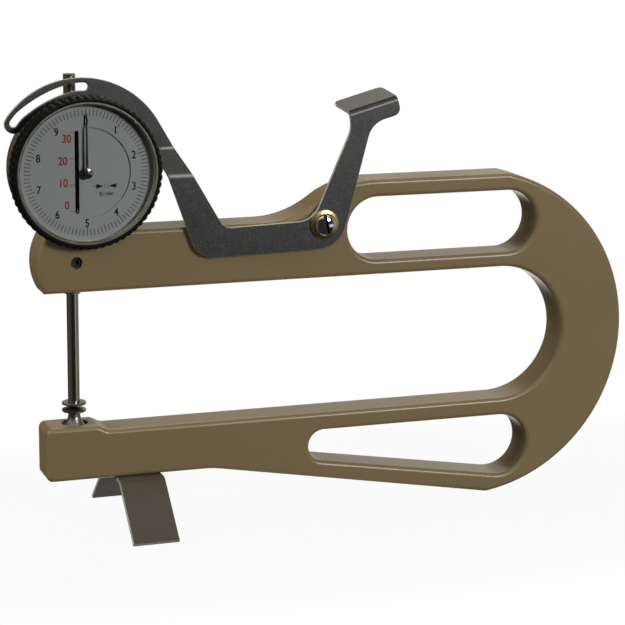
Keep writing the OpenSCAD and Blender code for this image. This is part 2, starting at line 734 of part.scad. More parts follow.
module movement_plate() color("#b39b5a") at_spindle() difference() {
    union() {
        rod_y(dial_c, plate_y, plate_y + plate_t, 2 * (bore_r - seat_gap));
        for (p = pillar_spots) rod_y(p, plate_y + plate_t / 2, bridge_y, pillar_d);
    }
    plate(plate_y - over, plate_y + plate_t + over) polygon(guide_slot(dial_slot_w));
    rod_y(dial_c, plate_y - over, plate_y + plate_t + over, bearing_d + 2 * seat_gap);
    rod_y([spring_x, spring_low], plate_y - over, plate_y + plate_t + over, spring_pin_d + 2 * seat_gap);
    for (p = pillar_spots) rod_y(p, bridge_y - small_hole, bridge_y + over, small_screw_d + 2 * seat_gap);
    for (p = dial_foot_spots) rod_y(p, plate_y - over, plate_y + plate_t + over, dial_foot_d + 2 * seat_gap);
}

module rear_bridge() color("#b39b5a") at_spindle() difference() {
    plate(bridge_y, bridge_y + bridge_t) polygon(rounded([
        concat(dial_c + [-bridge_nose, bridge_half], [bridge_half / 2]),
        concat(dial_c + [-bridge_nose, -bridge_half], [bridge_half / 2]),
        concat(pillar_spots[1] + [bridge_edge[0], -bridge_edge[1]], [bridge_nose]),
        concat(pillar_spots[0] + bridge_edge, [bridge_nose])]));
    rod_y(dial_c, bridge_y - over, bridge_y + bridge_t + over, bearing_d + 2 * seat_gap);
    for (p = pillar_spots)
        rod_y(p, bridge_y - over, bridge_y + bridge_t + over, small_screw_d + 2 * screw_gap);
}

module bridge_screws() color("#8a8a86") at_spindle() for (p = pillar_spots) {
    top = bridge_y + bridge_t;
    rod_y(p, bridge_y - small_screw_l, top, small_screw_d);
    difference() {
        rod_y(p, top, top + small_head_t, small_head_d);
        translate([p[0] - small_head_d, top + small_head_t - small_slot[1], p[1] - small_slot[0] / 2])
            cube([2 * small_head_d, over, small_slot[0]]);
    }
}

module pinion_bushes() color("#a8853c") at_spindle()
    for (span = [[plate_y, plate_t], [bridge_y, bridge_t]]) difference() {
        rod_y(dial_c, span[0], span[0] + span[1], bearing_d);
        rod_y(dial_c, span[0] - over, span[0] + span[1] + over, shaft_d + 2 * run_gap);
    }

// Inner dial, fixed on two feet that go through the movement plate
module dial_plate() color("#9d9e9c") at_spindle() {
    difference() {
        rod_y(dial_c, dial_y, dial_y + dial_t, 2 * inner_dial_r);
        plate(dial_y - over, dial_y + dial_t + over) polygon(guide_slot(dial_slot_w));
        rod_y(dial_c, dial_y - over, dial_y + dial_t + over, shaft_d + 2 * dial_gap);
    }
    for (p = dial_foot_spots) {
        rod_y(p, dial_y + dial_t, plate_y + plate_t, dial_foot_d);
        rod_y(p, dial_y + dial_t, plate_y, dial_foot_collar);
    }
}

module spring_post() color("#8a8a86") at_spindle() {
    collar_y = plate_y + plate_t;
    rod_y([spring_x, spring_low], plate_y, spring_d / 2 + spring_post_over, spring_pin_d);
    rod_y([spring_x, spring_low], collar_y, collar_y + spring_collar[1], spring_pin_d + spring_collar[0]);
}

// Pinion: a shaft with sixteen teeth, one of them facing the rack
half_tooth = pitch / 4 - tooth_play / 2;
tooth_half = [[root_r, half_tooth + pinion_slope], [pitch_r, half_tooth], [tip_r, half_tooth - tip_slope]];
pinion_loop = flat([for (i = [0:teeth - 1]) let (a = 180 - i * 360 / teeth)
    concat([for (p = tooth_half) spin(p, a)], [for (p = reverse(tooth_half)) spin([p[0], -p[1]], a)])]);

module pinion() color("#8a8a86") at_spindle() {
    translate([dial_c[0], 0, dial_c[1]]) rotate([90, 0, 0])
        linear_extrude(pinion_l, center = true) polygon(pinion_loop);
    rod_y(dial_c, hub_span[0] - shaft_show, bridge_y + bridge_t + shaft_over, shaft_d);
    rod_y(dial_c, pinion_hub_y, -pinion_l / 2, 2 * root_r);
}

pointer_side = [[pointer_tail[0], -pointer_tail[1]], [pointer_half, 0],
    [pointer_tip[0], pointer_l - pointer_tip[1]]];
pointer_loop = concat(pointer_side, [[0, pointer_l]], [for (p = reverse(pointer_side)) [-p[0], p[1]]]);

module pointer() color("#161616") at_spindle() difference() {
    union() {
        plate(pointer_y, pointer_y + pointer_t) polygon([for (p = pointer_loop) dial_c + p]);
        rod_y(dial_c, hub_span[0], hub_span[1], hub_d);
    }
    rod_y(dial_c, hub_span[0] - over, hub_span[1] + over / 2, shaft_d + 2 * seat_gap);
}

// Bezel: a turned ring with scallops round its rim
bezel_loop = [for (i = [0:6 * scallops - 1]) let (a = 60 * i / scallops)
    dial_c + (bezel_r - scallop_depth * (1 - abs(cos(a * scallops / 2)))) * toward(a)];

module bezel() color("#141413") at_spindle() intersection() {
    plate(bezel_y - over, bezel_back_y + over) polygon(bezel_loop);
    turned_y(dial_c) polygon([[case_r + turn_gap, -bezel_back_y], [bezel_r + over, -bezel_back_y],
        [bezel_r + over, -bezel_y - bezel_edge[1]], [bezel_r - bezel_edge[0], -bezel_y],
        [crystal_seat, -bezel_y], [crystal_seat, -crystal_y], [bezel_in_r, -crystal_y],
        [bezel_in_r, bezel_lip - case_front_y], [case_r + turn_gap, bezel_lip - case_front_y]]);
}

module scale_ring() color("#a9aaa8") at_spindle() difference() {
    rod_y(dial_c, dial_y, dial_y + dial_t, 2 * scale_r);
    rod_y(dial_c, dial_y - over, dial_y + dial_t + over, 2 * (inner_dial_r + scale_gap));
}

module crystal() color("#dfe6e8", 0.3) at_spindle()
    rod_y(dial_c, crystal_y - crystal_t, crystal_y, 2 * crystal_r);

module crystal_ring() color("#c9c8c2") at_spindle() turned_y(dial_c) polygon([
    [ring_r - ring_w, crystal_t - crystal_y], [ring_r, crystal_t - crystal_y],
    [ring_r, -bezel_y - ring_sink], [ring_r - ring_top_w, -bezel_y - ring_sink]]);

// Plunger: a rod with the rack cut in its side and cross holes for its pins
rack_low = dial_c[1] - (rack_teeth - rack_ahead) * pitch;
rack_gap = pitch / 4 + tooth_play / 2;
gap_half = [[rack_x + module_mm, rack_gap + tip_slope], [rack_x, rack_gap],
    [rack_x - root_depth, rack_gap - rack_slope]];
rack_cut = concat([[plunger_d, rack_low - pitch / 2]],
    flat([for (i = [0:rack_teeth]) let (z = rack_low + i * pitch)
        concat([for (p = gap_half) [p[0], z - p[1]]], [for (p = reverse(gap_half)) [p[0], z + p[1]]])]),
    [[plunger_d, rack_low + (rack_teeth + 0.5) * pitch]]);

module plunger() color("#8f8e88") at_spindle() difference() {
    rod_z(plunger_z, plunger_top, plunger_d);
    plate(-plunger_d, plunger_d) polygon(rack_cut);
    rod_y([0, dial_c[1] - guide_zero], -plunger_d, pin_depth, guide_pin_d + 2 * seat_gap);
    rod_y(lift_pin, -plunger_d, lift_pin_depth, lift_pin_d + 2 * seat_gap);
    translate([-plunger_d, 0, spring_high]) rotate([0, 90, 0])
        cylinder(d = spring_pin_d + 2 * seat_gap, h = plunger_d);
}

module contact_disc() color("#777670") at_spindle() translate([0, 0, contact_z]) rotate_extrude()
    polygon(concat(dome_side,
        [[face_d / 2, face_t - face_edge], [face_d / 2 - face_edge, face_t], [0, face_t]]));

module guide_pin() color("#b9b8b2") at_spindle()
    rod_y([0, dial_c[1] - guide_zero], dial_y - guide_pin_over, pin_depth, guide_pin_d);

module lift_pin() color("#2a2a2c") at_spindle()
    rod_y(lift_pin, hook_y - lever_t - lift_pin_over, lift_pin_depth, lift_pin_d);

module spring_pin() color("#8a8a86") at_spindle() translate([spring_x - spring_pin_over, 0, spring_high])
    rotate([0, 90, 0]) cylinder(d = spring_pin_d, h = spring_pin_over - spring_x);

// Return spring: a helix between the post and the pin
spring_r = (spring_d - wire_d) / 2;
coil_low = spring_low + spring_pin_d / 2 + coil_gap;
coil_high = spring_high - spring_pin_d / 2 - coil_gap;
coil_count = coil_steps * spring_turns;
hook_reach = (spring_pin_d + wire_d) / 2 + hook_gap;
coil_line = concat([[-spring_r, 0, spring_low + hook_reach]],
    [for (i = [0:coil_count]) let (u = toward(180 + 360 * i / coil_steps))
        [spring_r * u[0], spring_r * u[1], coil_low + (coil_high - coil_low) * i / coil_count]],
    [[-spring_r, 0, spring_high - hook_reach]]);

// A round wire of six sides along a line of points; each ring stands square to the run of the line
module wire(line, d, sides = 6) {
    n = len(line);
    function run(i) = unit(line[min(i + 1, n - 1)] - line[max(i - 1, 0)]);
    function out(i) = let (t = run(i), u = [line[i][0], line[i][1], 0]) unit(u - t * (u * t));
    function ring(i) = let (t = run(i), u = out(i), v = cross(t, u))
        [for (k = [0:sides - 1]) line[i] + d / 2 * (u * cos(360 * k / sides) + v * sin(360 * k / sides))];
    polyhedron(points = [for (i = [0:n - 1]) for (p = ring(i)) p],
        faces = concat([[for (k = [0:sides - 1]) k]], [[for (k = [sides - 1:-1:0]) (n - 1) * sides + k]],
            [for (i = [0:n - 2]) for (k = [0:sides - 1]) let (m = (k + 1) % sides)
                [i * sides + k, (i + 1) * sides + m, i * sides + m]],
            [for (i = [0:n - 2]) for (k = [0:sides - 1]) let (m = (k + 1) % sides)
                [i * sides + k, (i + 1) * sides + k, (i + 1) * sides + m]]));
}

module return_spring() color("#9a9a98") at_spindle() translate([spring_x, 0, 0]) wire(coil_line, wire_d);

// Lever: one sheet outline, joggled back behind the bezel on the left and bent into a thumb tab on the right
web_low = pivot[1] - web_drop;
web_high = web_low + web_h;
tab_u = [cos(tab_slope), sin(tab_slope)];
tab_v = left(tab_u);
tab_right = tab_mid + tab_u * tab_w / 2;
tab_left = tab_mid - tab_u * tab_w / 2;
arm_x = dial_x + case_r + web_start;
heel_drop = 1.4;
heel_r = 9;
knee_in = 2.9;
arm_top_drop = 1.1;
hook_root = [23.3, 1.65];
hook_shoulder = 29;
knee_r = 11.5;
lip_r = 3;
lip_root_r = 9;
elbow_r = 9.5;
elbow = [pivot_x - 4.4, web_high];
neck = pivot + [0.545 * tab_reach, 0.84 * tab_rise];
neck_side = tab_left - neck;
neck_half = acos(unit(neck_side) * unit(elbow - neck)) / 2;
neck_r = min(11, 0.9 * norm(neck_side) * tan(neck_half));
lever_loop = rounded([
    dial_c + (hook_in_r + hook_root[1]) * toward(hook_root[0]),
    [arm_x, web_low - heel_drop, heel_r],
    [pivot_x + web_drop - knee_in, web_low, knee_r],
    concat(tab_mid - tab_u * tab_w / 9 - tab_v * tab_lip, [lip_root_r]),
    concat(tab_right - tab_v * tab_lip, [lip_r]),
    tab_right,
    tab_left,
    concat(neck, [neck_r]),
    concat(elbow, [elbow_r]),
    [arm_x + arm_w, web_high - arm_top_drop, 5],
    dial_c + hook_r * toward(hook_shoulder)], 6);
joggle_line = bent([[lever_y - lever_t / 2, 0], [lever_y - lever_t / 2, joggle_z1],
    [hook_y - lever_t / 2, joggle_z2], [hook_y - lever_t / 2, lift_z + travel]], joggle_r);
hook_line = arc(hook_c, (hook_r + hook_in_r) / 2, 20, hook_end, 40);

module lever_plan() difference() {
    union() {
        polygon(lever_loop);
        polygon(band(hook_line, hook_r - hook_in_r));
    }
    polygon(band(slot_line, lift_slot_w));
}

// The tab's profile across the bend, from the lever's plane backwards
tab_line = bent([[-lever_t / 2, -over], [-lever_t / 2, tab_bend_r],
    [tab_depth - lever_t / 2, tab_bend_r + tab_depth * tan(tab_tilt)]], tab_bend_r);

module thumb_tab() translate([tab_mid[0], lever_y, tab_mid[1]]) rotate([0, -tab_slope, 0]) intersection() {
    along_x(-tab_w / 2, tab_w / 2) polygon(strip(tab_line, lever_t));
    translate([0, 0, -over]) linear_extrude(tab_depth)
        polygon(rounded([[-tab_w / 2, -2 * lever_t], [tab_w / 2, -2 * lever_t],
            [tab_w / 2, tab_depth - lever_t, tab_corner_r],
            [-tab_w / 2, tab_depth - lever_t, tab_corner_r]]));
}

module lever() color("#3c3c39") at_spindle() difference() {
    union() {
        intersection() {
            plate(lever_y - 3 * lever_t, 0) intersection() {
                lever_plan();
                translate([-2 * hook_r, 0]) square([2 * hook_r + lever_split, 2 * lift_z]);
            }
            along_x(-2 * hook_r, lever_split) polygon(strip(joggle_line, lever_t));
        }
        plate(lever_y - lever_t, lever_y) intersection() {
            lever_plan();
            translate([lever_split, 0]) square([throat_depth, 2 * lift_z]);
        }
        thumb_tab();
    }
    rod_y(pivot, lever_y - 2 * lever_t, lever_y + lever_t, pivot_d + 2 * run_gap);
}

// Pivot: a flanged bush, a brass washer and a slotted screw
module pivot_bush() color("#8a8a86") at_spindle() difference() {
    union() {
        rod_y(pivot, front_y - bush_t, front_y, pivot_d + 2 * bush_flange);
        rod_y(pivot, washer_y, front_y, pivot_d);
    }
    rod_y(pivot, washer_y - over, front_y + over, pivot_screw_d + 2 * screw_gap);
}

module brass_washer() color("#a78f4e") at_spindle() difference() {
    turned_y(pivot) translate([0, -washer_y]) polygon(concat([[0, 0], [washer_d / 2, 0]],
        [for (p = washer_rim) [washer_d / 2 - p[0], p[1]]],
        [[pivot_head_d / 2 + head_seat, washer_t], [0, washer_t]]));
    rod_y(pivot, washer_y - 3 * washer_t, washer_y + over, pivot_screw_d + 2 * screw_gap);
}

head_y = washer_y - washer_t;
head_side = [[0, 0], [0, 1.1], [0.5, 1.7], [1.6, 2.2]];

module pivot_screw() color("#b5b5b0") at_spindle() difference() {
    union() {
        rod_y(pivot, head_y, front_y + pivot_screw_in, pivot_screw_d);
        turned_y(pivot) translate([0, -head_y]) polygon(concat([[0, 0]],
            [for (p = head_side) [pivot_head_d / 2 - p[0], p[1]]], [[0, head_t]]));
    }
    translate([pivot[0], head_y - head_slot[1], pivot[1]]) rotate([0, head_slot[2], 0])
        translate([-head_slot[0] / 2, -head_t, -pivot_head_d]) cube([head_slot[0], head_t, 2 * pivot_head_d]);
}

frame();
foot();
foot_screws();
anvil();
anvil_clamp_screw();
stem_clamp_screw();
case();
stem();
lower_bush();
upper_bush();
back_cover();
cover_screws();
movement_plate();
rear_bridge();
bridge_screws();
pinion_bushes();
dial_plate();
spring_post();
pinion();
pointer();
bezel();
scale_ring();
crystal();
crystal_ring();
plunger();
contact_disc();
guide_pin();
lift_pin();
spring_pin();
return_spring();
lever();
pivot_bush();
brass_washer();
pivot_screw();
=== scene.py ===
import bmesh
import bpy
import numpy as np
from mathutils import Matrix, Vector


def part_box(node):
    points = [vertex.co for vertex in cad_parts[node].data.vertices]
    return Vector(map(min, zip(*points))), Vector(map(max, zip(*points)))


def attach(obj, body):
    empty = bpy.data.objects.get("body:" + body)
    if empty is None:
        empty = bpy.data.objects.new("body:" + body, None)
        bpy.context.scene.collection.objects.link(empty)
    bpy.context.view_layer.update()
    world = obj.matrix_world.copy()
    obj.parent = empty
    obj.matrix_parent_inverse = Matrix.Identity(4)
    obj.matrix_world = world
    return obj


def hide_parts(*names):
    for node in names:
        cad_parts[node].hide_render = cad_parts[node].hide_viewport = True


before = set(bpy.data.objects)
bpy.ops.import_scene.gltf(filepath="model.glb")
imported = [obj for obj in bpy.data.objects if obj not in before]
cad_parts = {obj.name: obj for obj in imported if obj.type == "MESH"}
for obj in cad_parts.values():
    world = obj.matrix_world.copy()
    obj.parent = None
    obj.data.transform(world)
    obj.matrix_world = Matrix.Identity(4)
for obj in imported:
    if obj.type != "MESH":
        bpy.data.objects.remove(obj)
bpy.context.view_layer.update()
print("frame loaded:", len(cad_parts), "nodes")

mm = 0.001


# places taken from the frame, in millimetres
def lowHigh(node):
    low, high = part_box(node)
    return np.array(low) / mm, np.array(high) / mm


def middle(node):
    low, high = lowHigh(node)
    return (low + high) / 2


# a node's middle as [x, z] from the spindle
def spotOf(node):
    return middle(node)[[0, 2]] - [spindleX, 0]


spindleX = middle("plunger")[0]
dialSpot = spotOf("scale_ring")
dialX, dialZ = dialSpot
dialFront = lowHigh("scale_ring")[0][1]
pivotSpot = spotOf("brass_washer")
pivotX, pivotZ = pivotSpot


def addObject(name, data):
    thing = bpy.data.objects.new(name, data)
    bpy.context.scene.collection.objects.link(thing)
    return thing


# camera at the photograph's viewing angle, its place measured from the spindle on the table
cameraSet = {
    "place": (-188.19, -815.03, 269.48),
    "yaw": 0.335446,
    "pitch": 0.218569,
    "roll": 0.008299,
    "focalPixels": 2254.82,
    "framePixels": 625,
    "sensor": 36.0,
    "clip": (0.05, 20),
}


def makeCamera(s):
    data = bpy.data.cameras.new("photoCamera")
    data.sensor_width = s["sensor"]
    data.lens = s["sensor"] * s["focalPixels"] / s["framePixels"]
    data.clip_start, data.clip_end = s["clip"]
    camera = addObject("photoCamera", data)
    yaw, pitch, roll = s["yaw"], s["pitch"], s["roll"]
    ahead = np.array([np.sin(yaw) * np.cos(pitch), np.cos(yaw) * np.cos(pitch), -np.sin(pitch)])
    right = np.array([np.cos(yaw), -np.sin(yaw), 0])
    up = np.cross(right, ahead)
    rightRolled = np.cos(roll) * right + np.sin(roll) * up
    upRolled = np.cos(roll) * up - np.sin(roll) * right
    turn = Matrix(np.column_stack([rightRolled, upRolled, -ahead]).tolist()).to_4x4()
    x, y, z = s["place"]
    camera.matrix_world = Matrix.Translation(Vector(((x + spindleX) * mm, y * mm, z * mm))) @ turn
    bpy.context.scene.camera = camera


makeCamera(cameraSet)
print("camera placed")


# outlines: every line is an array of [x, z] in millimetres from the spindle, angles are in degrees
def wayAt(angle):
    a = np.radians(angle)
    return np.stack([np.cos(a), np.sin(a)], -1)


def angleOf(way):
    return np.degrees(np.arctan2(way[1], way[0]))


def arc(centre, radius, first, last, count):
    return np.asarray(centre) + radius * wayAt(np.linspace(first, last, count + 1))


def unit(v):
    return v / np.linalg.norm(v)


def leftOf(v):
    return np.column_stack([-v[:, 1], v[:, 0]])


# unit directions along an open line
def runsOf(line):
    run = np.gradient(line, axis=0)
    return run / np.linalg.norm(run, axis=1, keepdims=True)


# a corner between two neighbours becomes an arc that touches both sides
def roundCorner(before, spot, after, radius, count):
    u = unit(before - spot)
    v = unit(after - spot)
    half = np.arccos(np.clip(u @ v, -1, 1)) / 2
    centre = spot + unit(u + v) * radius / np.sin(half)
    first = angleOf(spot + u * radius / np.tan(half) - centre)
    last = angleOf(spot + v * radius / np.tan(half) - centre)
    sweep = (last - first + 540) % 360 - 180
    return arc(centre, radius, first, first + sweep, count)


# corners are [x, z] or [x, z, radius]; the line is closed unless said otherwise
def roundLine(corners, count=8, closed=True):
    spots = [np.array(c[:2], float) for c in corners]
    runs = []
    for i, c in enumerate(corners):
        end = not closed and i in (0, len(corners) - 1)
        if len(c) < 3 or end:
            runs.append(spots[i][None])
        else:
            runs.append(roundCorner(spots[i - 1], spots[i], spots[(i + 1) % len(spots)], c[2], count))
    return np.vstack(runs)


# moves a closed line to its left by d, keeping its sides parallel
def moveLeft(line, d):
    run = line - np.roll(line, 1, axis=0)
    run /= np.linalg.norm(run, axis=1, keepdims=True)
    a = leftOf(run)
    b = np.roll(a, -1, axis=0)
    return line + d * (a + b) / (1 + np.sum(a * b, axis=1, keepdims=True))


# a middle line with a width and round ends
def bandLine(line, width, count=12):
    run = runsOf(line)
    side = leftOf(run) * width / 2
    first, last = angleOf(-run[0]), angleOf(run[-1])
    capEnd = arc(line[-1], width / 2, last - 90, last + 90, count)[1:-1]
    capStart = arc(line[0], width / 2, first - 90, first + 90, count)[1:-1]
    return np.vstack([line - side, capEnd, (line + side)[::-1], capStart])


# points in millimetres from the spindle and their faces become an object in the frame's metres
def toObject(name, points, faces):
    places = np.asarray(points, float).copy()
    places[:, 0] += spindleX
    mesh = bpy.data.meshes.new(name)
    mesh.from_pydata((places * mm).tolist(), [], [list(map(int, f)) for f in faces])
    mesh.update()
    return addObject(name, mesh)


# quads of a grid of rows by columns, closed along the columns
def gridFaces(rows, columns, first=0):
    i, j = np.meshgrid(np.arange(rows - 1), np.arange(columns), indexing="ij")
    k = (j + 1) % columns
    quads = np.stack([i * columns + j, i * columns + k, (i + 1) * columns + k, (i + 1) * columns + j], -1)
    return quads.reshape(-1, 4) + first


boxSides = np.array([[0, 1, 2, 3], [7, 6, 5, 4], [0, 4, 5, 1], [1, 5, 6, 2], [2, 6, 7, 3], [3, 7, 4, 0]])


# one box on every four corners, between two Y values
def boxArrays(corners, front, back):
    corners = np.asarray(corners, float)
    count = len(corners)
    flat = np.concatenate([corners, corners], axis=1)
    ys = np.broadcast_to(np.repeat([front, back], 4), (count, 8))
    points = np.stack([flat[..., 0], ys, flat[..., 1]], -1)
    faces = np.arange(count)[:, None, None] * 8 + boxSides
    return points.reshape(-1, 3), faces.reshape(-1, 4)


# merges doubles, points the faces outwards and marks edges sharper than the angle
def tidyMesh(piece, angle=35.0, merge=1e-7):
    work = bmesh.new()
    work.from_mesh(piece.data)
    bmesh.ops.remove_doubles(work, verts=work.verts, dist=merge)
    bmesh.ops.dissolve_degenerate(work, edges=work.edges, dist=merge)
    bmesh.ops.recalc_face_normals(work, faces=work.faces)
    work.to_mesh(piece.data)
    work.free()
    smoothMesh(piece, angle)
    return piece


def smoothMesh(piece, angle):
    piece.data.polygons.foreach_set("use_smooth", np.ones(len(piece.data.polygons), bool))
    piece.data.set_sharp_from_angle(angle=np.radians(angle))
    piece.data.update()


def weighNormals(piece):
    weigh = piece.modifiers.new("weighNormals", "WEIGHTED_NORMAL")
    weigh.mode = "FACE_AREA"
    weigh.weight = 80
    weigh.keep_sharp = True


# a profile of [radius, height] carried round an axis: x = r cos a, y = h, z = r sin a for axis Y
def lathe(name, profile, centre, axis="Y", count=128):
    profile = np.asarray(profile, float)
    a = np.linspace(0, 2 * np.pi, count, endpoint=False)
    r = profile[:, 0:1]
    h = np.repeat(profile[:, 1:2], count, axis=1)
    u = centre[0] + r * np.cos(a)
    v = centre[1] + r * np.sin(a)
    grid = np.stack([u, h, v] if axis == "Y" else [u, v, h], -1)
    return tidyMesh(toObject(name, grid.reshape(-1, 3), gridFaces(len(profile), count)))


# a flat plate between two Y values: a quarter round on each edge is carried along every outline,
# inset = r (1 - sin a), depth = r (1 - cos a), and the two faces are filled between the outlines
def platePiece(name, outer, holes, yFront, yBack, edge, steps):
    a = np.linspace(0, np.pi / 2, steps + 1)
    inset = edge * (1 - np.sin(a))
    depth = edge * (1 - np.cos(a))
    insets = np.concatenate([inset, inset[::-1]])
    heights = np.concatenate([yFront + depth, yBack - depth[::-1]])
    points, faces, total = [], [], 0
    for line, side in [(outer, 1)] + [(hole, -1) for hole in holes]:
        rings = [moveLeft(line, side * d) for d in insets]
        grid = np.stack([np.insert(ring, 1, y, axis=1) for ring, y in zip(rings, heights)])
        points.append(grid.reshape(-1, 3))
        faces.append(gridFaces(len(insets), len(line), total))
        total += grid.shape[0] * grid.shape[1]
    piece = toObject(name, np.vstack(points), np.vstack(faces))
    work = bmesh.new()
    work.from_mesh(piece.data)
    near = 1e-4
    for y, facing in ((yFront, -1), (yBack, 1)):
        rim = [e for e in work.edges if e.is_boundary and abs(e.verts[0].co.y / mm - y) < near]
        bmesh.ops.triangle_fill(work, use_beauty=True, edges=rim, normal=(0, facing, 0))
    bmesh.ops.recalc_face_normals(work, faces=work.faces)
    work.to_mesh(piece.data)
    work.free()
    return piece


# takes cutters away from a piece and keeps their materials on the cut faces
def cutAway(piece, cutters):
    for cutter in cutters:
        cut = piece.modifiers.new("cut", "BOOLEAN")
        cut.operation = "DIFFERENCE"
        cut.solver = "MANIFOLD"
        cut.material_mode = "TRANSFER"
        cut.object = cutter
    bpy.context.view_layer.update()
    graph = bpy.context.evaluated_depsgraph_get()
    mesh = bpy.data.meshes.new_from_object(piece.evaluated_get(graph))
    piece.modifiers.clear()
    piece.data = mesh
    for cutter in cutters:
        bpy.data.objects.remove(cutter)


def giveFinishes(mesh, *names):
    mesh.materials.clear()
    for name in names:
        mesh.materials.append(finishes[name])


# a piece gets its finish, unless it has some already, and rides on a body; it may stand for CAD nodes
def dress(piece, finish, body, slot, *stands):
    if finish:
        giveFinishes(piece.data, finish)
    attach(piece, body)
    if stands:
        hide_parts(*stands)
    return piece


def faceValues(mesh, label, width=3):
    values = np.empty(len(mesh.polygons) * width)
    mesh.polygons.foreach_get(label, values)
    return values.reshape(-1, width)


# every face's middle as [x, z] from the dial's centre
def facesFromDial(mesh):
    return faceValues(mesh, "center")[:, [0, 2]] / mm - [spindleX, 0] - dialSpot


# the picked faces take the second finish, the others the first
def pickSecond(mesh, picked):
    mesh.polygons.foreach_set("material_index", picked.astype(np.int32))
    mesh.update()


# shader helpers; a socket takes a link or a plain value
def feed(tree, socket, value):
    if isinstance(value, bpy.types.NodeSocket):
        tree.links.new(value, socket)
    else:
        socket.default_value = value


def addNode(tree, kind, settings=None, **inputs):
    node = tree.nodes.new(kind)
    for key, value in (settings or {}).items():
        setattr(node, key, value)
    for key, value in inputs.items():
        feed(tree, node.inputs[key], value)
    return node


def mathNode(tree, operation, *values):
    node = addNode(tree, "ShaderNodeMath", {"operation": operation})
    for socket, value in zip(node.inputs, values):
        feed(tree, socket, value)
    return node.outputs[0]


def vectorNode(tree, operation, output, *values):
    node = addNode(tree, "ShaderNodeVectorMath", {"operation": operation})
    for socket, value in zip(node.inputs, values):
        feed(tree, socket, value)
    return node.outputs[output]


def mixColour(tree, factor, a, b):
    node = addNode(tree, "ShaderNodeMix", {"data_type": "RGBA"})
    for index, value in ((0, factor), (6, a), (7, b)):
        feed(tree, node.inputs[index], value)
    return node.outputs[2]


def mixShader(tree, factor, a, b):
    node = addNode(tree, "ShaderNodeMixShader")
    for socket, value in zip(node.inputs, (factor, a, b)):
        feed(tree, socket, value)
    return node.outputs[0]


def rampNode(tree, value, start, end, low=0.0, high=1.0):
    node = addNode(tree, "ShaderNodeMapRange", {"clamp": True}, Value=value)
    for label, limit in (("From Min", start), ("From Max", end), ("To Min", low), ("To Max", high)):
        feed(tree, node.inputs[label], limit)
    return node.outputs["Result"]


def objectPlace(tree):
    return addNode(tree, "ShaderNodeTexCoord").outputs["Object"]


def newGroup(name, inputs, outputs):
    group = bpy.data.node_groups.new(name, "ShaderNodeTree")
    for label, value in inputs.items():
        kind = "NodeSocketColor" if isinstance(value, tuple) else "NodeSocketFloat"
        socket = group.interface.new_socket(name=label, in_out="INPUT", socket_type=kind)
        socket.default_value = value
    for label, kind in outputs.items():
        group.interface.new_socket(name=label, in_out="OUTPUT", socket_type=kind)
    start = group.nodes.new("NodeGroupInput")
    end = group.nodes.new("NodeGroupOutput")
    return group, start, end


plainWhite = (1.0, 1.0, 1.0, 1.0)


# a group that mixes two colours and spreads the roughness by one pattern
def newPattern(name, scales):
    inputs = {"Colour": plainWhite, "Second": plainWhite, **scales, "Gloss": 0.3, "Gloss Range": 0.1}
    outputs = {"Colour": "NodeSocketColor", "Roughness": "NodeSocketFloat", "Height": "NodeSocketFloat"}
    return newGroup(name, inputs, outputs)


def closePattern(group, start, end, pattern, height):
    colour = mixColour(group, pattern, start.outputs["Colour"], start.outputs["Second"])
    gloss = mathNode(group, "MULTIPLY_ADD", pattern, start.outputs["Gloss Range"], start.outputs["Gloss"])
    for label, value in (("Colour", colour), ("Roughness", gloss), ("Height", height)):
        group.links.new(value, end.inputs[label])
    return group


# soft blotches of tone and a fine skin of bumps, as on sprayed paint
def makeSkinGroup():
    group, start, end = newPattern("sprayedSkin", {"Blotch Scale": 40.0, "Peel Scale": 900.0})
    place = objectPlace(group)
    blotch = addNode(group, "ShaderNodeTexNoise", Vector=place, Scale=start.outputs["Blotch Scale"],
                     Detail=4.0, Roughness=0.6)
    peel = addNode(group, "ShaderNodeTexNoise", Vector=place, Scale=start.outputs["Peel Scale"],
                   Detail=2.0, Roughness=0.5)
    return closePattern(group, start, end, blotch.outputs["Fac"], peel.outputs["Fac"])


# fine lines left by grinding, stretched along one axis
def makeBrushGroup():
    group, start, end = newPattern("groundLines", {"Scale X": 50.0, "Scale Y": 50.0, "Scale Z": 50.0})
    stretch = addNode(group, "ShaderNodeCombineXYZ", X=start.outputs["Scale X"], Y=start.outputs["Scale Y"],
                      Z=start.outputs["Scale Z"])
    scaled = vectorNode(group, "MULTIPLY", "Vector", objectPlace(group), stretch.outputs[0])
    lines = addNode(group, "ShaderNodeTexNoise", Vector=scaled, Scale=1.0, Detail=5.0, Roughness=0.65)
    return closePattern(group, start, end, lines.outputs["Fac"], lines.outputs["Fac"])


# small bright grains scattered over a dark finish
def makeSpeckGroup():
    group, start, end = newGroup("grainSpecks", {"Scale": 1500.0, "Share": 0.6, "Softness": 0.1},
                                 {"Mask": "NodeSocketFloat", "Height": "NodeSocketFloat"})
    grain = addNode(group, "ShaderNodeTexNoise", Vector=objectPlace(group), Scale=start.outputs["Scale"],
                    Detail=2.0, Roughness=0.7)
    upper = mathNode(group, "ADD", start.outputs["Share"], start.outputs["Softness"])
    mask = rampNode(group, grain.outputs["Fac"], start.outputs["Share"], upper)
    group.links.new(mask, end.inputs["Mask"])
    group.links.new(grain.outputs["Fac"], end.inputs["Height"])
    return group


skinGroup = makeSkinGroup()
brushGroup = makeBrushGroup()
speckGroup = makeSpeckGroup()


def newFinish(name, **fixed):
    finish = bpy.data.materials.new(name)
    finish.use_nodes = True
    shader = finish.node_tree.nodes["Principled BSDF"]
    for label, value in fixed.items():
        shader.inputs[label.replace("_", " ")].default_value = value
    return finish, finish.node_tree, shader


def useGroup(tree, group, **values):
    node = tree.nodes.new("ShaderNodeGroup")
    node.node_tree = group
    for label, value in values.items():
        node.inputs[label.replace("_", " ")].default_value = value
    return node


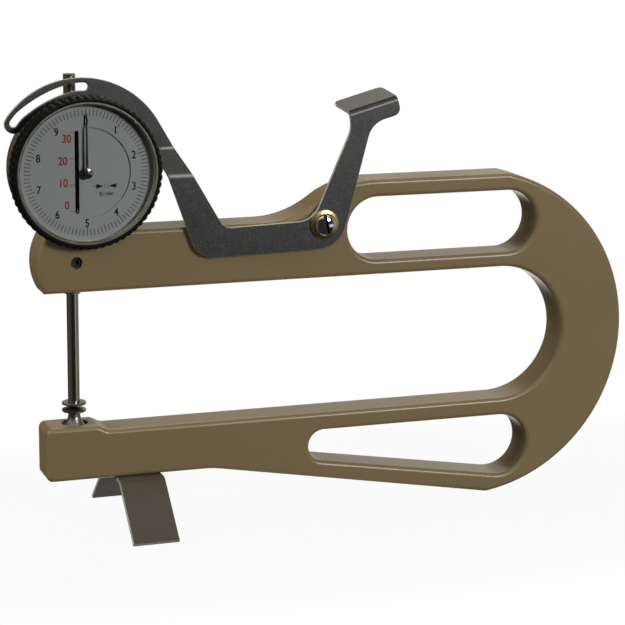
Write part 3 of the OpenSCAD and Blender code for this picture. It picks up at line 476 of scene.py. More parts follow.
def bumpFrom(tree, shader, height, look):
    bump = addNode(tree, "ShaderNodeBump", Strength=look["bump"], Distance=look["depth"], Height=height)
    tree.links.new(bump.outputs[0], shader.inputs["Normal"])


# colours are linear; the pattern mixes the tone and the second tone, lines are its scale along X, Y and Z
groundUsual = {"metallic": 1.0, "shine": 0.5, "bump": 0.05, "depth": 0.0002}
groundLooks = {
    # bare steel of cut edges, made lighter also as a painted edge highlight
    "cutSteelAndEdgeHighlight": {"tone": (0.36, 0.34, 0.285), "second": (0.46, 0.44, 0.375), "lines": (300, 300, 300),
                 "gloss": 0.3, "spread": 0.15, "metallic": 0.3},
    "groundSteel": {"tone": (0.30, 0.29, 0.27), "second": (0.40, 0.39, 0.36), "lines": (900, 900, 60),
                    "gloss": 0.10, "spread": 0.12},
    "faceSteel": {"tone": (0.18, 0.169, 0.145), "second": (0.23, 0.217, 0.19), "lines": (600, 600, 600),
                  "gloss": 0.30, "spread": 0.14},
    "hubSteel": {"tone": (0.26, 0.25, 0.23), "second": (0.30, 0.29, 0.27), "lines": (300, 300, 300),
                 "gloss": 0.08, "spread": 0.06, "bump": 0.01},
    "bushSteel": {"tone": (0.30, 0.28, 0.24), "second": (0.40, 0.38, 0.33), "lines": (400, 400, 1200),
                  "gloss": 0.3, "spread": 0.15},
    "caseMetal": {"tone": (0.072, 0.056, 0.037), "second": (0.098, 0.078, 0.054), "lines": (80, 2500, 80),
                  "gloss": 0.32, "spread": 0.16, "metallic": 0.25},
    "brightScrew": {"tone": (0.72, 0.71, 0.68), "second": (0.80, 0.79, 0.77), "lines": (300, 300, 300),
                    "gloss": 0.06, "spread": 0.06, "bump": 0.01},
    "ringMetal": {"tone": (0.54, 0.52, 0.45), "second": (0.64, 0.62, 0.54), "lines": (300, 300, 300),
                  "gloss": 0.2, "spread": 0.1},
    # painted shade: a darker copy of ringMetal for the ring's inner wall
    "ringPaintedShade": {"tone": (0.30, 0.29, 0.235), "second": (0.36, 0.35, 0.29), "lines": (300, 300, 300),
                  "gloss": 0.3, "spread": 0.1},
    "blackSteel": {"tone": (0.030, 0.030, 0.034), "second": (0.06, 0.06, 0.064), "lines": (500, 500, 500),
                   "gloss": 0.3, "spread": 0.15},
    "turnedBrass": {"tone": (0.46, 0.36, 0.14), "second": (0.58, 0.46, 0.20), "lines": (700, 700, 700),
                    "gloss": 0.24, "spread": 0.14},
}
skinUsual = {"metallic": 0.0, "shine": 0.5, "bump": 0.04, "depth": 0.0003}
inkUsual = {"blotch": 300, "peel": 3000, "gloss": 0.5, "spread": 0.1, "shine": 0.04}
skinLooks = {
    "beigePaint": {"tone": (0.167, 0.122, 0.056), "second": (0.184, 0.136, 0.063), "blotch": 18, "peel": 750,
                   "gloss": 0.26, "spread": 0.10, "shine": 0.4, "bump": 0.06, "depth": 0.0004},
    "footSteel": {"tone": (0.046, 0.040, 0.026), "second": (0.068, 0.060, 0.041), "blotch": 60, "peel": 900,
                  "gloss": 0.34, "spread": 0.14},
    # the window wall's own tan, made lighter as painted light for the reflected light that its shade lacks
    "windowTanPaintedLight": {"tone": (0.60, 0.58, 0.45), "second": (0.66, 0.64, 0.50), "blotch": 200, "peel": 1500,
                  "gloss": 0.4, "spread": 0.1},
    "bezelBlack": {"tone": (0.002, 0.002, 0.002), "second": (0.004, 0.004, 0.004), "blotch": 120,
                   "peel": 1500, "gloss": 0.32, "spread": 0.12, "shine": 0.10},
    "dialWhite": {"tone": (0.368, 0.375, 0.372), "second": (0.392, 0.399, 0.396), "blotch": 90, "peel": 2500,
                  "gloss": 0.5, "spread": 0.1, "bump": 0.02, "shine": 0.04},
    "inkBlack": {**inkUsual, "tone": (0.010, 0.011, 0.012), "second": (0.018, 0.018, 0.02)},
    "inkGrey": {**inkUsual, "tone": (0.028, 0.030, 0.036), "second": (0.045, 0.047, 0.054)},
    "inkRed": {**inkUsual, "tone": (0.30, 0.040, 0.030), "second": (0.36, 0.05, 0.036)},
    "pointerBlack": {**inkUsual, "tone": (0.006, 0.006, 0.006), "second": (0.012, 0.012, 0.012),
                     "gloss": 0.35, "shine": 0.2},
}
leverLook = {"tone": (0.002, 0.002, 0.0017), "second": (0.007, 0.007, 0.006), "lines": (260, 260, 260),
             "gloss": 0.31, "spread": 0.12, "shine": 0.8, "bump": 0.05, "depth": 0.0003,
             "speck": (0.034, 0.033, 0.029), "speckScale": 1500, "speckShare": 0.48, "speckSoft": 0.2}
crystalLook = {"ior": 1.49, "tint": (0.96, 0.97, 0.97, 1), "shadowTint": (0.93, 0.94, 0.94, 1)}


def placePattern(tree, group, look, **scales):
    return useGroup(tree, group, Colour=(*look["tone"], 1), Second=(*look["second"], 1), Gloss=look["gloss"],
                    Gloss_Range=look["spread"], **scales)


def placeLines(tree, look):
    x, y, z = look["lines"]
    return placePattern(tree, brushGroup, look, Scale_X=x, Scale_Y=y, Scale_Z=z)


def placeSkin(tree, look):
    return placePattern(tree, skinGroup, look, Blotch_Scale=look["blotch"], Peel_Scale=look["peel"])


def makeFinish(name, place, look):
    finish, tree, shader = newFinish(name, Metallic=look["metallic"], Specular_IOR_Level=look["shine"])
    pattern = place(tree, look)
    tree.links.new(pattern.outputs["Colour"], shader.inputs["Base Color"])
    tree.links.new(pattern.outputs["Roughness"], shader.inputs["Roughness"])
    bumpFrom(tree, shader, pattern.outputs["Height"], look)
    return finish


def makeLeverSteel(look):
    finish, tree, shader = newFinish("leverSteel", Specular_IOR_Level=look["shine"])
    lines = placeLines(tree, look)
    specks = useGroup(tree, speckGroup, Scale=look["speckScale"], Share=look["speckShare"],
                      Softness=look["speckSoft"])
    colour = mixColour(tree, specks.outputs["Mask"], lines.outputs["Colour"], (*look["speck"], 1))
    tree.links.new(colour, shader.inputs["Base Color"])
    tree.links.new(lines.outputs["Roughness"], shader.inputs["Roughness"])
    bumpFrom(tree, shader, specks.outputs["Height"], look)
    return finish


# clear to light, so that the dial behind it keeps its own light
def makeCrystal(look):
    finish, tree, shader = newFinish("clearCrystal", Transmission_Weight=1.0, IOR=look["ior"], Roughness=0.0,
                                     Base_Color=look["tint"])
    clear = addNode(tree, "ShaderNodeBsdfTransparent", Color=look["shadowTint"])
    path = addNode(tree, "ShaderNodeLightPath").outputs
    both = mixShader(tree, path["Is Shadow Ray"], shader.outputs[0], clear.outputs[0])
    tree.links.new(both, tree.nodes["Material Output"].inputs["Surface"])
    return finish


finishes = {name: makeFinish(name, placeLines, {**groundUsual, **look}) for name, look in groundLooks.items()}
for name, look in skinLooks.items():
    finishes[name] = makeFinish(name, placeSkin, {**skinUsual, **look})
finishes["leverSteel"] = makeLeverSteel(leverLook)
finishes["clearCrystal"] = makeCrystal(crystalLook)
print("finishes made:", len(finishes))

nodeFinish = {
    "beigePaint": ["frame"],
    "leverSteel": ["lever"],
    "footSteel": ["foot"],
    "groundSteel": ["plunger", "guide_pin", "spring_pin", "spring_post", "pinion", "return_spring",
                    "pivot_bush"],
    "faceSteel": ["anvil", "contact_disc"],
    "bushSteel": ["stem", "lower_bush", "upper_bush"],
    "brightScrew": ["foot_screws", "cover_screws", "bridge_screws", "pivot_screw"],
    "blackSteel": ["anvil_clamp_screw", "stem_clamp_screw", "lift_pin", "movement_plate"],
    "turnedBrass": ["brass_washer", "rear_bridge", "pinion_bushes"],
    "caseMetal": ["case", "back_cover"],
    "bezelBlack": ["bezel"],
    "dialWhite": ["dial_plate", "scale_ring"],
    "pointerBlack": ["pointer"],
    "clearCrystal": ["crystal"],
}
for name, nodes in nodeFinish.items():
    for node in nodes:
        giveFinishes(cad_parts[node].data, name)


# the crystal's ring keeps its bright metal at its rim; where it faces the dial's axis it takes a darker copy
# of that metal, a painted shade
ringSize = {"inward": 0.5}


def shadeRing(mesh, s):
    giveFinishes(mesh, "ringMetal", "ringPaintedShade")
    out = facesFromDial(mesh)
    facing = np.sum(out * faceValues(mesh, "normal")[:, [0, 2]], axis=1)
    pickSecond(mesh, facing < -s["inward"] * np.linalg.norm(out, axis=1))


shadeRing(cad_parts["crystal_ring"].data, ringSize)


# casting: one outline with two openings, rounded edges, and the bores that show;
# a flare is its start below the face, how much wider it gets, and its end past the face
castingSize = {
    "throatDepth": 200, "lowerTop": 39, "upperBottom": 93, "upperTop": 116, "backTop": 130.6,
    "backRadius": 66.5, "backWall": 26.5, "heelInset": 31.2,
    "riseRadius": 38.5, "riseStart": 73, "noseRadius": 22, "noseReach": 15, "noseDrop": 0.465,
    "armClear": 20, "lowerReach": 12.5, "undersideBend": 53, "undersideRadius": 40,
    "padBack": 7.5, "padSlope": 4, "padRise": 2, "padRounds": (4, 3.6),
    "halfThick": 8, "edge": 1.8, "edgeSteps": 8, "corner": 2.5,
    "gripHeight": 24.7, "gripStart": 10.9, "gripFloor": 6, "gripWall": 39,
    "slotRadii": (6.3, 12.3), "slotLength": 75, "slotWall": 40.5, "slotRoof": 7.2,
    "cradle": 26.45, "stemHole": 8.04, "past": 2,
    "clampHole": 4.04, "clampHeight": 104.5, "clampFloor": 1, "clampFlare": (0.3, 1.3, 1),
    "anvilHole": 9.04, "anvilDepth": 14, "anvilRoom": 1, "anvilFlare": (0.6, 2.4, 1.8),
}


def castingOutline(s, padTop):
    back = s["throatDepth"] + s["backWall"] - s["backRadius"]
    heel = s["throatDepth"] - s["heelInset"]
    backCentre = np.array([back, np.sqrt(s["backRadius"] ** 2 - (heel - back) ** 2)])
    rise = s["backTop"] - s["upperTop"]
    riseAngle = np.degrees(np.arccos(1 - rise / (2 * s["riseRadius"])))
    riseEnd = s["riseStart"] + 2 * s["riseRadius"] * np.sin(np.radians(riseAngle))
    nose = np.array([s["noseRadius"] - s["noseReach"],
                     s["upperBottom"] + s["noseDrop"] * (s["upperTop"] - s["upperBottom"])])
    noseHigh = np.degrees(np.arcsin((s["upperTop"] - nose[1]) / s["noseRadius"]))
    noseLow = np.degrees(np.arcsin((nose[1] - s["upperBottom"]) / s["noseRadius"]))
    throatRadius = (s["upperBottom"] - s["lowerTop"]) / 2
    throat = [s["throatDepth"] - throatRadius, s["lowerTop"] + throatRadius]
    heelAngle = angleOf([heel - back, -backCentre[1]])
    topAngle = np.degrees(np.arcsin((s["backTop"] - backCentre[1]) / s["backRadius"]))
    lowRound, highRound = s["padRounds"]
    pad = roundLine([
        [throat[0], s["lowerTop"]],
        [s["padBack"] + s["padSlope"], s["lowerTop"], lowRound], [s["padBack"], padTop, highRound],
        [-s["lowerReach"], padTop, s["corner"]], [-s["lowerReach"], s["armClear"], s["corner"]],
        [s["undersideBend"], s["armClear"], s["undersideRadius"]], [heel, 0]], closed=False)
    return np.vstack([
        arc(backCentre, s["backRadius"], heelAngle, topAngle, 96),
        arc([riseEnd, s["backTop"] - s["riseRadius"]], s["riseRadius"], 90, 90 + riseAngle, 20),
        arc([s["riseStart"], s["upperTop"] + s["riseRadius"]], s["riseRadius"], riseAngle - 90, -90, 20)[1:],
        arc(nose, s["noseRadius"], 180 - noseHigh, 180 + noseLow, 28),
        arc(throat, throatRadius, 90, -90, 72)[:-1],
        pad[:-1]])


# a round-ended opening between two circles
def openingLine(p, q, r1, r2, count=28):
    p, q = np.asarray(p, float), np.asarray(q, float)
    a = angleOf(q - p)
    t = np.degrees(np.arccos((r1 - r2) / np.linalg.norm(q - p)))
    return np.vstack([arc(p, r1, a + t, a + 360 - t, count), arc(q, r2, a - t, a + t, count)])


def straightBore(radius, low, high):
    return [[0, low], [radius, low], [radius, high], [0, high]]


def flaredBore(radius, floor, face, flare):
    below, wider, past = flare
    return np.array([[0, floor], [radius, floor], [radius, face - below], [radius + wider, face + past],
                     [0, face + past]])


def makeCasting(s):
    thick, past = s["halfThick"], s["past"]
    padTop = s["lowerTop"] + s["padRise"]
    gripRadius = s["gripHeight"] / 2
    gripZ = s["upperBottom"] + s["gripFloor"] + gripRadius
    gripLeft = pivotX + s["gripStart"] + gripRadius
    gripRight = s["throatDepth"] + s["backWall"] - s["gripWall"] - gripRadius
    grip = openingLine([gripLeft, gripZ], [gripRight, gripZ], gripRadius, gripRadius)
    small, wide = s["slotRadii"]
    slotRight = s["throatDepth"] + s["backWall"] - s["slotWall"] - wide
    roof = s["lowerTop"] - s["slotRoof"]
    slot = openingLine([slotRight - s["slotLength"], roof - small], [slotRight, roof - wide], small, wide)
    casting = platePiece("casting", castingOutline(s, padTop), [grip, slot], -thick, thick, s["edge"],
                         s["edgeSteps"])
    giveFinishes(casting.data, "beigePaint")
    cradle = straightBore(s["cradle"], -thick - past, thick + past)
    clamp = flaredBore(s["clampHole"] / 2, s["clampFloor"], thick, s["clampFlare"])
    anvil = flaredBore(s["anvilHole"] / 2, padTop - s["anvilDepth"] - s["anvilRoom"], padTop, s["anvilFlare"])
    stem = straightBore(s["stemHole"] / 2, s["upperBottom"] - past, s["upperTop"] + past)
    bores = [
        (lathe("cradleCut", cradle, dialSpot, count=192), "beigePaint"),
        (lathe("clampCut", clamp * [1, -1], [0, s["clampHeight"]], count=48), "bushSteel"),
        (lathe("rearClampCut", clamp, [0, padTop - s["anvilDepth"] / 2], count=48), "bushSteel"),
        (lathe("anvilCut", anvil, [0, 0], "Z", count=64), "blackSteel"),
        (lathe("stemCut", stem, [0, 0], "Z", count=64), "bushSteel"),
    ]
    for cutter, finish in bores:
        giveFinishes(cutter.data, finish)
    cutAway(casting, [cutter for cutter, finish in bores])
    smoothMesh(casting, 32)
    weighNormals(casting)
    return dress(casting, None, "gauge_frame", "paint", "frame")


casting = makeCasting(castingSize)
print("casting made:", len(casting.data.polygons), "faces")


# lever: one flat sheet cut to its plan, then bent; the plan is [x, z], the sheet's depth runs along Y.
# webFoot, webTop, knee and elbow are a shift and the corner's radius; turns are angles about the dial
leverSize = {
    "thick": 1.5, "gap": 1.0, "edge": 0.22, "edgeSteps": 3, "cutFacing": 0.8,
    "caseRadius": 26.3, "hookRoom": 0.9, "hookWidth": 7.15, "hookShift": -0.35, "hookTurns": (26, 30),
    "hookEnd": 144.2, "hookDepth": -3.1,
    "slotIn": 3.65, "slotWidth": 3.0, "slotPlay": 0.1, "slotLead": 8.4, "slotTail": 1.0,
    "rate": 0.74, "travel": 25, "pathSteps": 40, "leadSteps": 8,
    "webDrop": 9.5, "webHeight": 11, "webStart": 16.6, "webFoot": (1.4, 9), "webTop": (1.1, 5),
    "armWidth": 10.4, "armOut": 1.4, "armTurns": (19.5, 29), "armJoin": 9, "pivotHole": 6.06,
    "knee": (2.9, 11.5), "elbow": (4.4, 9.5), "neck": (0.545, 0.84), "neckRound": 11,
    "tabReach": 20, "tabRise": 43.6, "tabWidth": 20.5, "tabDepth": 16, "tabSlope": 15.4, "tabCorner": 2.4,
    "tabRoot": 4, "tabLip": 5, "lipPart": 9, "lipRoot": 9, "lipCorner": 3,
    "tabBend": 1.6, "tabTilt": 6, "tabCuts": 13, "tabFrom": 90, "tabCutsFrom": 92,
    "joggleFrom": -2.9, "joggleTo": 6.5, "joggleRadius": 4.0, "joggleSpan": (0, 400), "joggleUntil": 70,
}
sheetBack = -castingSize["halfThick"] - leverSize["gap"]


def turnSpot(spot, degrees):
    a = np.radians(degrees)
    return np.stack([spot[..., 0] * np.cos(a) - spot[..., 1] * np.sin(a),
                     spot[..., 0] * np.sin(a) + spot[..., 1] * np.cos(a)], -1)


# the slot keeps halfway between the lift pin's path in the lever and an arc about the dial's centre
def liftSlotLine(s):
    slotRadius = s["caseRadius"] + s["hookRoom"] + s["slotIn"]
    rise = np.linspace(0, s["travel"], s["pathSteps"] + 1)
    pin = np.column_stack([0 * rise, dialZ + slotRadius + s["slotPlay"] + rise])
    path = pivotSpot + turnSpot(pin - pivotSpot, s["rate"] * rise) - dialSpot
    reach = np.linalg.norm(path, axis=1, keepdims=True)
    path *= (reach + slotRadius) / 2 / reach
    steps = s["leadSteps"]
    tail = max(s["slotTail"], s["hookEnd"] - angleOf(path[-1]))
    before = turnSpot(np.repeat(path[:1], steps, axis=0), -s["slotLead"] * np.linspace(1, 1 / steps, steps))
    after = turnSpot(np.repeat(path[-1:], steps, axis=0), np.linspace(0, tail, steps + 1)[1:])
    return dialSpot + np.vstack([before, path, after])


def tabAxes(s):
    along = wayAt(s["tabSlope"])
    return pivotSpot + [s["tabReach"], s["tabRise"]], along, np.array([-along[1], along[0]])


# bend of the tab: flat to the bend's start, an arc, and a straight run; lengths along the sheet's middle
def tabBendLengths(s):
    swing = np.radians(90 - s["tabTilt"])
    touch = s["tabBend"] * np.tan(swing / 2)
    start = s["tabBend"] - touch
    run = s["tabDepth"] / np.cos(np.radians(s["tabTilt"])) - touch
    return swing, start, s["tabBend"] * swing, run


def leverPlan(s):
    inner = s["caseRadius"] + s["hookRoom"]
    outer = inner + s["hookWidth"]
    innerTurn, outerTurn = s["hookTurns"]
    armLow, armHigh = s["armTurns"]
    hookCentre = dialSpot + [s["hookShift"], 0]
    tip = hookCentre + (inner + outer) / 2 * wayAt(s["hookEnd"])
    armX = dialX + s["caseRadius"] + s["webStart"]
    webLow = pivotZ - s["webDrop"]
    webHigh = webLow + s["webHeight"]
    tabMiddle, along, across = tabAxes(s)
    right = tabMiddle + along * s["tabWidth"] / 2
    left = tabMiddle - along * s["tabWidth"] / 2
    lip = across * s["tabLip"]
    tabEnd = sum(tabBendLengths(s)[1:]) * across
    body = roundLine([
        dialSpot + (inner + s["armOut"]) * wayAt(armLow),
        [armX, webLow - s["webFoot"][0], s["webFoot"][1]],
        [pivotX + s["webDrop"] - s["knee"][0], webLow, s["knee"][1]],
        [*(tabMiddle - along * s["tabWidth"] / s["lipPart"] - lip), s["lipRoot"]],
        [*(right - lip), s["lipCorner"]],
        [*(right + tabEnd), s["tabCorner"]],
        [*(left + tabEnd), s["tabCorner"]],
        [*left, s["tabRoot"]],
        [*(pivotSpot + np.multiply(s["neck"], [s["tabReach"], s["tabRise"]])), s["neckRound"]],
        [pivotX - s["elbow"][0], webHigh, s["elbow"][1]],
        [armX + s["armWidth"], webHigh - s["webTop"][0], s["webTop"][1]],
        dialSpot + outer * wayAt(armHigh)], 10, closed=False)
    return np.vstack([
        body[1:-1],
        arc(hookCentre, outer, outerTurn, s["hookEnd"], 64),
        arc(tip, s["hookWidth"] / 2, s["hookEnd"], s["hookEnd"] + 180, 14)[1:-1],
        arc(hookCentre, inner, s["hookEnd"], innerTurn, 64),
        roundCorner(*joinSpots(hookCentre, inner, innerTurn, body), s["armJoin"], 6)])


# where the hook's inner curve runs into the slanted arm: the tangent at its start meets the arm's edge line
def joinSpots(hookCentre, inner, turn, body):
    way = wayAt(turn)
    spot = hookCentre + inner * way
    tangent = np.array([way[1], -way[0]])
    edge = unit(body[1] - body[0])
    t = np.linalg.solve(np.column_stack([tangent, -edge]), body[1] - spot)[0]
    return spot, spot + tangent * t, body[1]


# front and back of the joggled sheet as y over z, from its middle line moved to both sides
def joggleCurves(s):
    yLow = sheetBack - s["thick"] / 2
    yHigh = s["hookDepth"] - s["thick"] / 2
    low, high = s["joggleSpan"]
    line = roundLine([
        [low, yLow], [dialZ + s["joggleFrom"], yLow, s["joggleRadius"]],
        [dialZ + s["joggleTo"], yHigh, s["joggleRadius"]], [high, yHigh]], 12, closed=False)
    side = leftOf(runsOf(line)) * s["thick"] / 2
    return line - side, line + side


# the hook's side takes its y from the joggle's two curves; the tab, with v counted along it and w through
# the sheet, turns by a: v = start + (r - w) sin a, y = r - (r - w) cos a, and then runs straight on
def bendLever(mesh, s):
    spots = np.empty(len(mesh.vertices) * 3)
    mesh.vertices.foreach_get("co", spots)
    x, depth, z = (spots.reshape(-1, 3) / mm - [spindleX, 0, 0]).T
    front, back = joggleCurves(s)
    share = (depth + s["thick"]) / s["thick"]
    yFront = np.interp(z, front[:, 0], front[:, 1])
    yBack = np.interp(z, back[:, 0], back[:, 1])
    y = np.where(x < s["joggleUntil"], yFront + share * (yBack - yFront), sheetBack + depth)
    middleSpot, along, across = tabAxes(s)
    u = (x - middleSpot[0]) * along[0] + (z - middleSpot[1]) * along[1]
    v = (x - middleSpot[0]) * across[0] + (z - middleSpot[1]) * across[1]
    swing, start, bend, _ = tabBendLengths(s)
    turn = np.clip((v - start) / bend, 0, 1) * swing
    past = np.maximum(v - start - bend, 0)
    radius = s["tabBend"] - (depth + s["thick"] / 2)
    vBent = start + radius * np.sin(turn) + past * np.cos(swing)
    yBent = sheetBack - s["thick"] / 2 + s["tabBend"] - radius * np.cos(turn) + past * np.sin(swing)
    onTab = (x > s["tabFrom"]) & (v > start)
    x = np.where(onTab, middleSpot[0] + u * along[0] + vBent * across[0], x)
    z = np.where(onTab, middleSpot[1] + u * along[1] + vBent * across[1], z)
    y = np.where(onTab, yBent, y)
    placed = np.column_stack([x + spindleX, y, z]) * mm
    mesh.vertices.foreach_set("co", placed.ravel())
    mesh.update()


# cuts across the flat sheet where it will bend
def scoreSheet(piece, s):
    work = bmesh.new()
    work.from_mesh(piece.data)
    front, back = joggleCurves(s)
    levels = np.unique(np.concatenate([front[1:-1, 0], back[1:-1, 0]]).round(3))
    middleSpot, _, across = tabAxes(s)
    _, start, bend, _ = tabBendLengths(s)
    cuts = [((0, 0, z * mm), (0, 0, 1), False) for z in levels]
    for v in np.linspace(start, start + bend, s["tabCuts"]):
        spot = middleSpot + across * v
        cuts.append((((spot[0] + spindleX) * mm, 0, spot[1] * mm), (across[0], 0, across[1]), True))
    tabStart = (s["tabCutsFrom"] + spindleX) * mm
    for place, facing, onTab in cuts:
        faces = [f for f in work.faces if (max(v.co.x for v in f.verts) > tabStart) == onTab]
        edges = {e for f in faces for e in f.edges}
        verts = {v for f in faces for v in f.verts}
        bmesh.ops.bisect_plane(work, geom=[*faces, *edges, *verts], plane_co=place, plane_no=facing,
                               dist=1e-8)
    bmesh.ops.triangulate(work, faces=[f for f in work.faces if len(f.verts) > 4])
    work.to_mesh(piece.data)
    work.free()


def makeLever(s):
    pivotHole = arc(pivotSpot, s["pivotHole"] / 2, 0, 360, 48)[:-1]
    slot = bandLine(liftSlotLine(s), s["slotWidth"])
    lever = platePiece("thumbLever", leverPlan(s), [slot, pivotHole], -s["thick"], 0, s["edge"],
                       s["edgeSteps"])
    # the sheet's rounded edges and cut sides take the lighter steel: bare cut metal and a painted edge
    # highlight
    giveFinishes(lever.data, "leverSteel", "cutSteelAndEdgeHighlight")
    pickSecond(lever.data, np.abs(faceValues(lever.data, "normal")[:, 1]) < s["cutFacing"])
    scoreSheet(lever, s)
    bendLever(lever.data, s)
    tidyMesh(lever, 50, 1e-8)
    weighNormals(lever)
    return dress(lever, None, "lift_lever", "lever_black", "lever")


lever = makeLever(leverSize)
print("lever made:", len(lever.data.polygons), "faces")


# bezel: a turned profile whose rim is drawn in by scallops, r = R - d (1 - |cos(n a / 2)|);
# shoulder and brow are a shift and the corner's radius
bezelSize = {
    "scallops": 64, "perScallop": 12, "depth": 0.45, "fade": (1.3, 0.8),
    "caseRadius": 26.38, "outer": 28.7, "front": -14.5, "back": -8.6, "backRounds": (0.2, 0.5),
    "shoulder": (1.5, 0.9), "brow": (0.8, 0.5), "seat": 26.5, "seatDepth": -12.7, "seatRound": 0.15,
    "window": 25.7, "windowBack": -9.6, "windowPlay": 0.05, "inRound": 0.1,
}


def makeBezel(s):
    inRound = s["inRound"]
    profile = roundLine([
        [s["caseRadius"], s["back"], s["backRounds"][0]], [s["outer"], s["back"], s["backRounds"][1]],
        [s["outer"], s["front"] + s["shoulder"][0], s["shoulder"][1]],
        [s["outer"] - s["brow"][0], s["front"], s["brow"][1]],
        [s["seat"], s["front"], s["seatRound"]], [s["seat"], s["seatDepth"], inRound],
        [s["window"], s["seatDepth"], inRound], [s["window"], s["windowBack"], inRound],
        [s["caseRadius"], s["windowBack"], inRound]], 5)
    profile = np.vstack([profile, profile[:1]])
    a = np.linspace(0, 2 * np.pi, s["perScallop"] * s["scallops"], endpoint=False)
    scallop = s["depth"] * (1 - np.abs(np.cos(a * s["scallops"] / 2)))
    inset, width = s["fade"]
    rim = np.clip((profile[:, 0:1] - s["outer"] + inset) / width, 0, 1)
    r = profile[:, 0:1] - rim * scallop
    grid = np.stack([dialX + r * np.cos(a), np.repeat(profile[:, 1:2], len(a), 1), dialZ + r * np.sin(a)], -1)
    bezel = tidyMesh(toObject("bezelRim", grid.reshape(-1, 3), gridFaces(len(profile), len(a))), 40)
    # the window's inner wall takes the tan that is lightened as painted light
    giveFinishes(bezel.data, "bezelBlack", "windowTanPaintedLight")
    pickSecond(bezel.data, np.hypot(*facesFromDial(bezel.data).T) < s["window"] + s["windowPlay"])
    dress(bezel, None, "bezel_ring", "bezel_black", "bezel")


makeBezel(bezelSize)


# outer scale: a turned ring that stands proud of the inner dial and laps over its rim
scaleSize = {"inner": 16.88, "bore": 17.15, "outer": 25.65, "step": 0.65, "lap": 0.02}


def makeScaleRing(s):
    back = lowHigh("scale_ring")[1][1]
    front = dialFront - s["step"]
    under = dialFront - s["lap"]
    profile = [[s["inner"], under], [s["bore"], under], [s["bore"], back], [s["outer"], back],
               [s["outer"], front], [s["inner"], front], [s["inner"], under]]
    dress(lathe("scaleRing", profile, dialSpot), "dialWhite", "bezel_ring", "dial_print", "scale_ring")
    return front


scaleFront = makeScaleRing(scaleSize)
printFace = {"bezel_ring": scaleFront, "gauge_frame": dialFront}


# dial print: thin raised ink on the two parts of the dial; every tenth and fifth mark is longer
printSize = {
    "lift": 0.02, "depth": 0.03, "squeeze": 0.82, "bold": 0.018,
    "marks": 100, "markOuter": 23.6, "markShort": 2.4, "markFive": 2.8, "markTen": 3.2, "markWidth": 0.24,
    "numerals": 10, "numeralRadius": 18.95, "numeral": 4.15, "redNumeral": 4.3,
    "travel": {"30": (-3.75, 151.55), "20": (-5.3, 143.3), "10": (-5.3, 135.1), "0": (-3.9, 126.8)},
    "ticks": (154.0, 144.2, 134.4, 124.7), "tickEnds": (-2.7, -0.85), "tickHalf": 0.11,
    "unit": "0,1 mm", "unitHeight": 2.1, "unitSpot": (11.0, 130.7),
}


def boxCorners(left, right, low, high):
    return [[left, low], [right, low], [right, high], [left, high]]


def printBoxes(name, corners, finish, body):
    back = printFace[body] - printSize["lift"]
    boxes = tidyMesh(toObject(name, *boxArrays(corners, back - printSize["depth"], back)))
    dress(boxes, finish, body, "dial_print")


def makeMarks(s):
    index = np.arange(s["marks"])
    length = np.where(index % 10 == 0, s["markTen"], np.where(index % 5 == 0, s["markFive"], s["markShort"]))
    out = wayAt(90 - 360 / s["marks"] * index)
    side = leftOf(out) * s["markWidth"] / 2
    top = dialSpot + out * s["markOuter"]
    low = dialSpot + out * (s["markOuter"] - length)[:, None]
    corners = np.stack([low - side, top - side, top + side, low + side], 1)
    printBoxes("scaleMarks", corners, "inkGrey", "bezel_ring")


# words become solid letters a few hundredths thick, standing in the dial's plane
def letterArrays(words, size, spot, face):
    curve = bpy.data.curves.new("letters", "FONT")
    curve.body = words
    curve.size = size
    curve.align_x = "CENTER"
    curve.align_y = "CENTER"
    curve.extrude = printSize["depth"] / 2
    curve.offset = printSize["bold"] * size
    curve.resolution_u = 6
    holder = addObject("letters", curve)
    bpy.context.view_layer.update()
    mesh = bpy.data.meshes.new_from_object(holder.evaluated_get(bpy.context.evaluated_depsgraph_get()))
    flat = np.empty(len(mesh.vertices) * 3)
    mesh.vertices.foreach_get("co", flat)
    flat = flat.reshape(-1, 3)
    faces = [list(p.vertices) for p in mesh.polygons]
    bpy.data.objects.remove(holder)
    y = face - printSize["lift"] - printSize["depth"] / 2 - flat[:, 2]
    points = np.column_stack([spot[0] + flat[:, 0] * printSize["squeeze"], y, spot[1] + flat[:, 1]])
    return points, faces


def makeLetters(name, rows, finish, body):
    points, faces, total = [], [], 0
    for words, size, spot in rows:
        p, f = letterArrays(words, size, spot, printFace[body])
        points.append(p)
        faces += [[i + total for i in face] for face in f]
        total += len(p)
    letters = tidyMesh(toObject(name, np.vstack(points), faces), merge=1e-9)
    dress(letters, finish, body, "dial_print")


def makePrints(s):
    index = np.arange(s["numerals"])
    spots = dialSpot + s["numeralRadius"] * wayAt(90 - 360 / s["numerals"] * index)
    makeLetters("scaleNumerals", [(str(i), s["numeral"], spots[i]) for i in index], "inkBlack", "bezel_ring")
    travel = [(words, s["redNumeral"], spot) for words, spot in s["travel"].items()]
    makeLetters("travelNumerals", travel, "inkRed", "gauge_frame")
    ticks = [boxCorners(*s["tickEnds"], z - s["tickHalf"], z + s["tickHalf"]) for z in s["ticks"]]
    printBoxes("travelTicks", ticks, "inkRed", "gauge_frame")
    makeLetters("unitLetters", [(s["unit"], s["unitHeight"], s["unitSpot"])], "inkGrey", "gauge_frame")


# two arrows that point at the gap between two bars; each arrow is a blunt triangle with a thin tail
arrowSize = {"height": 133.6, "tips": ((9.95, 1), (11.95, -1)), "length": 2.8, "half": 0.85, "blunt": 0.04,
             "tail": (1.5, 0.07), "bars": (10.4, 11.5), "bar": (0.05, 1.0)}


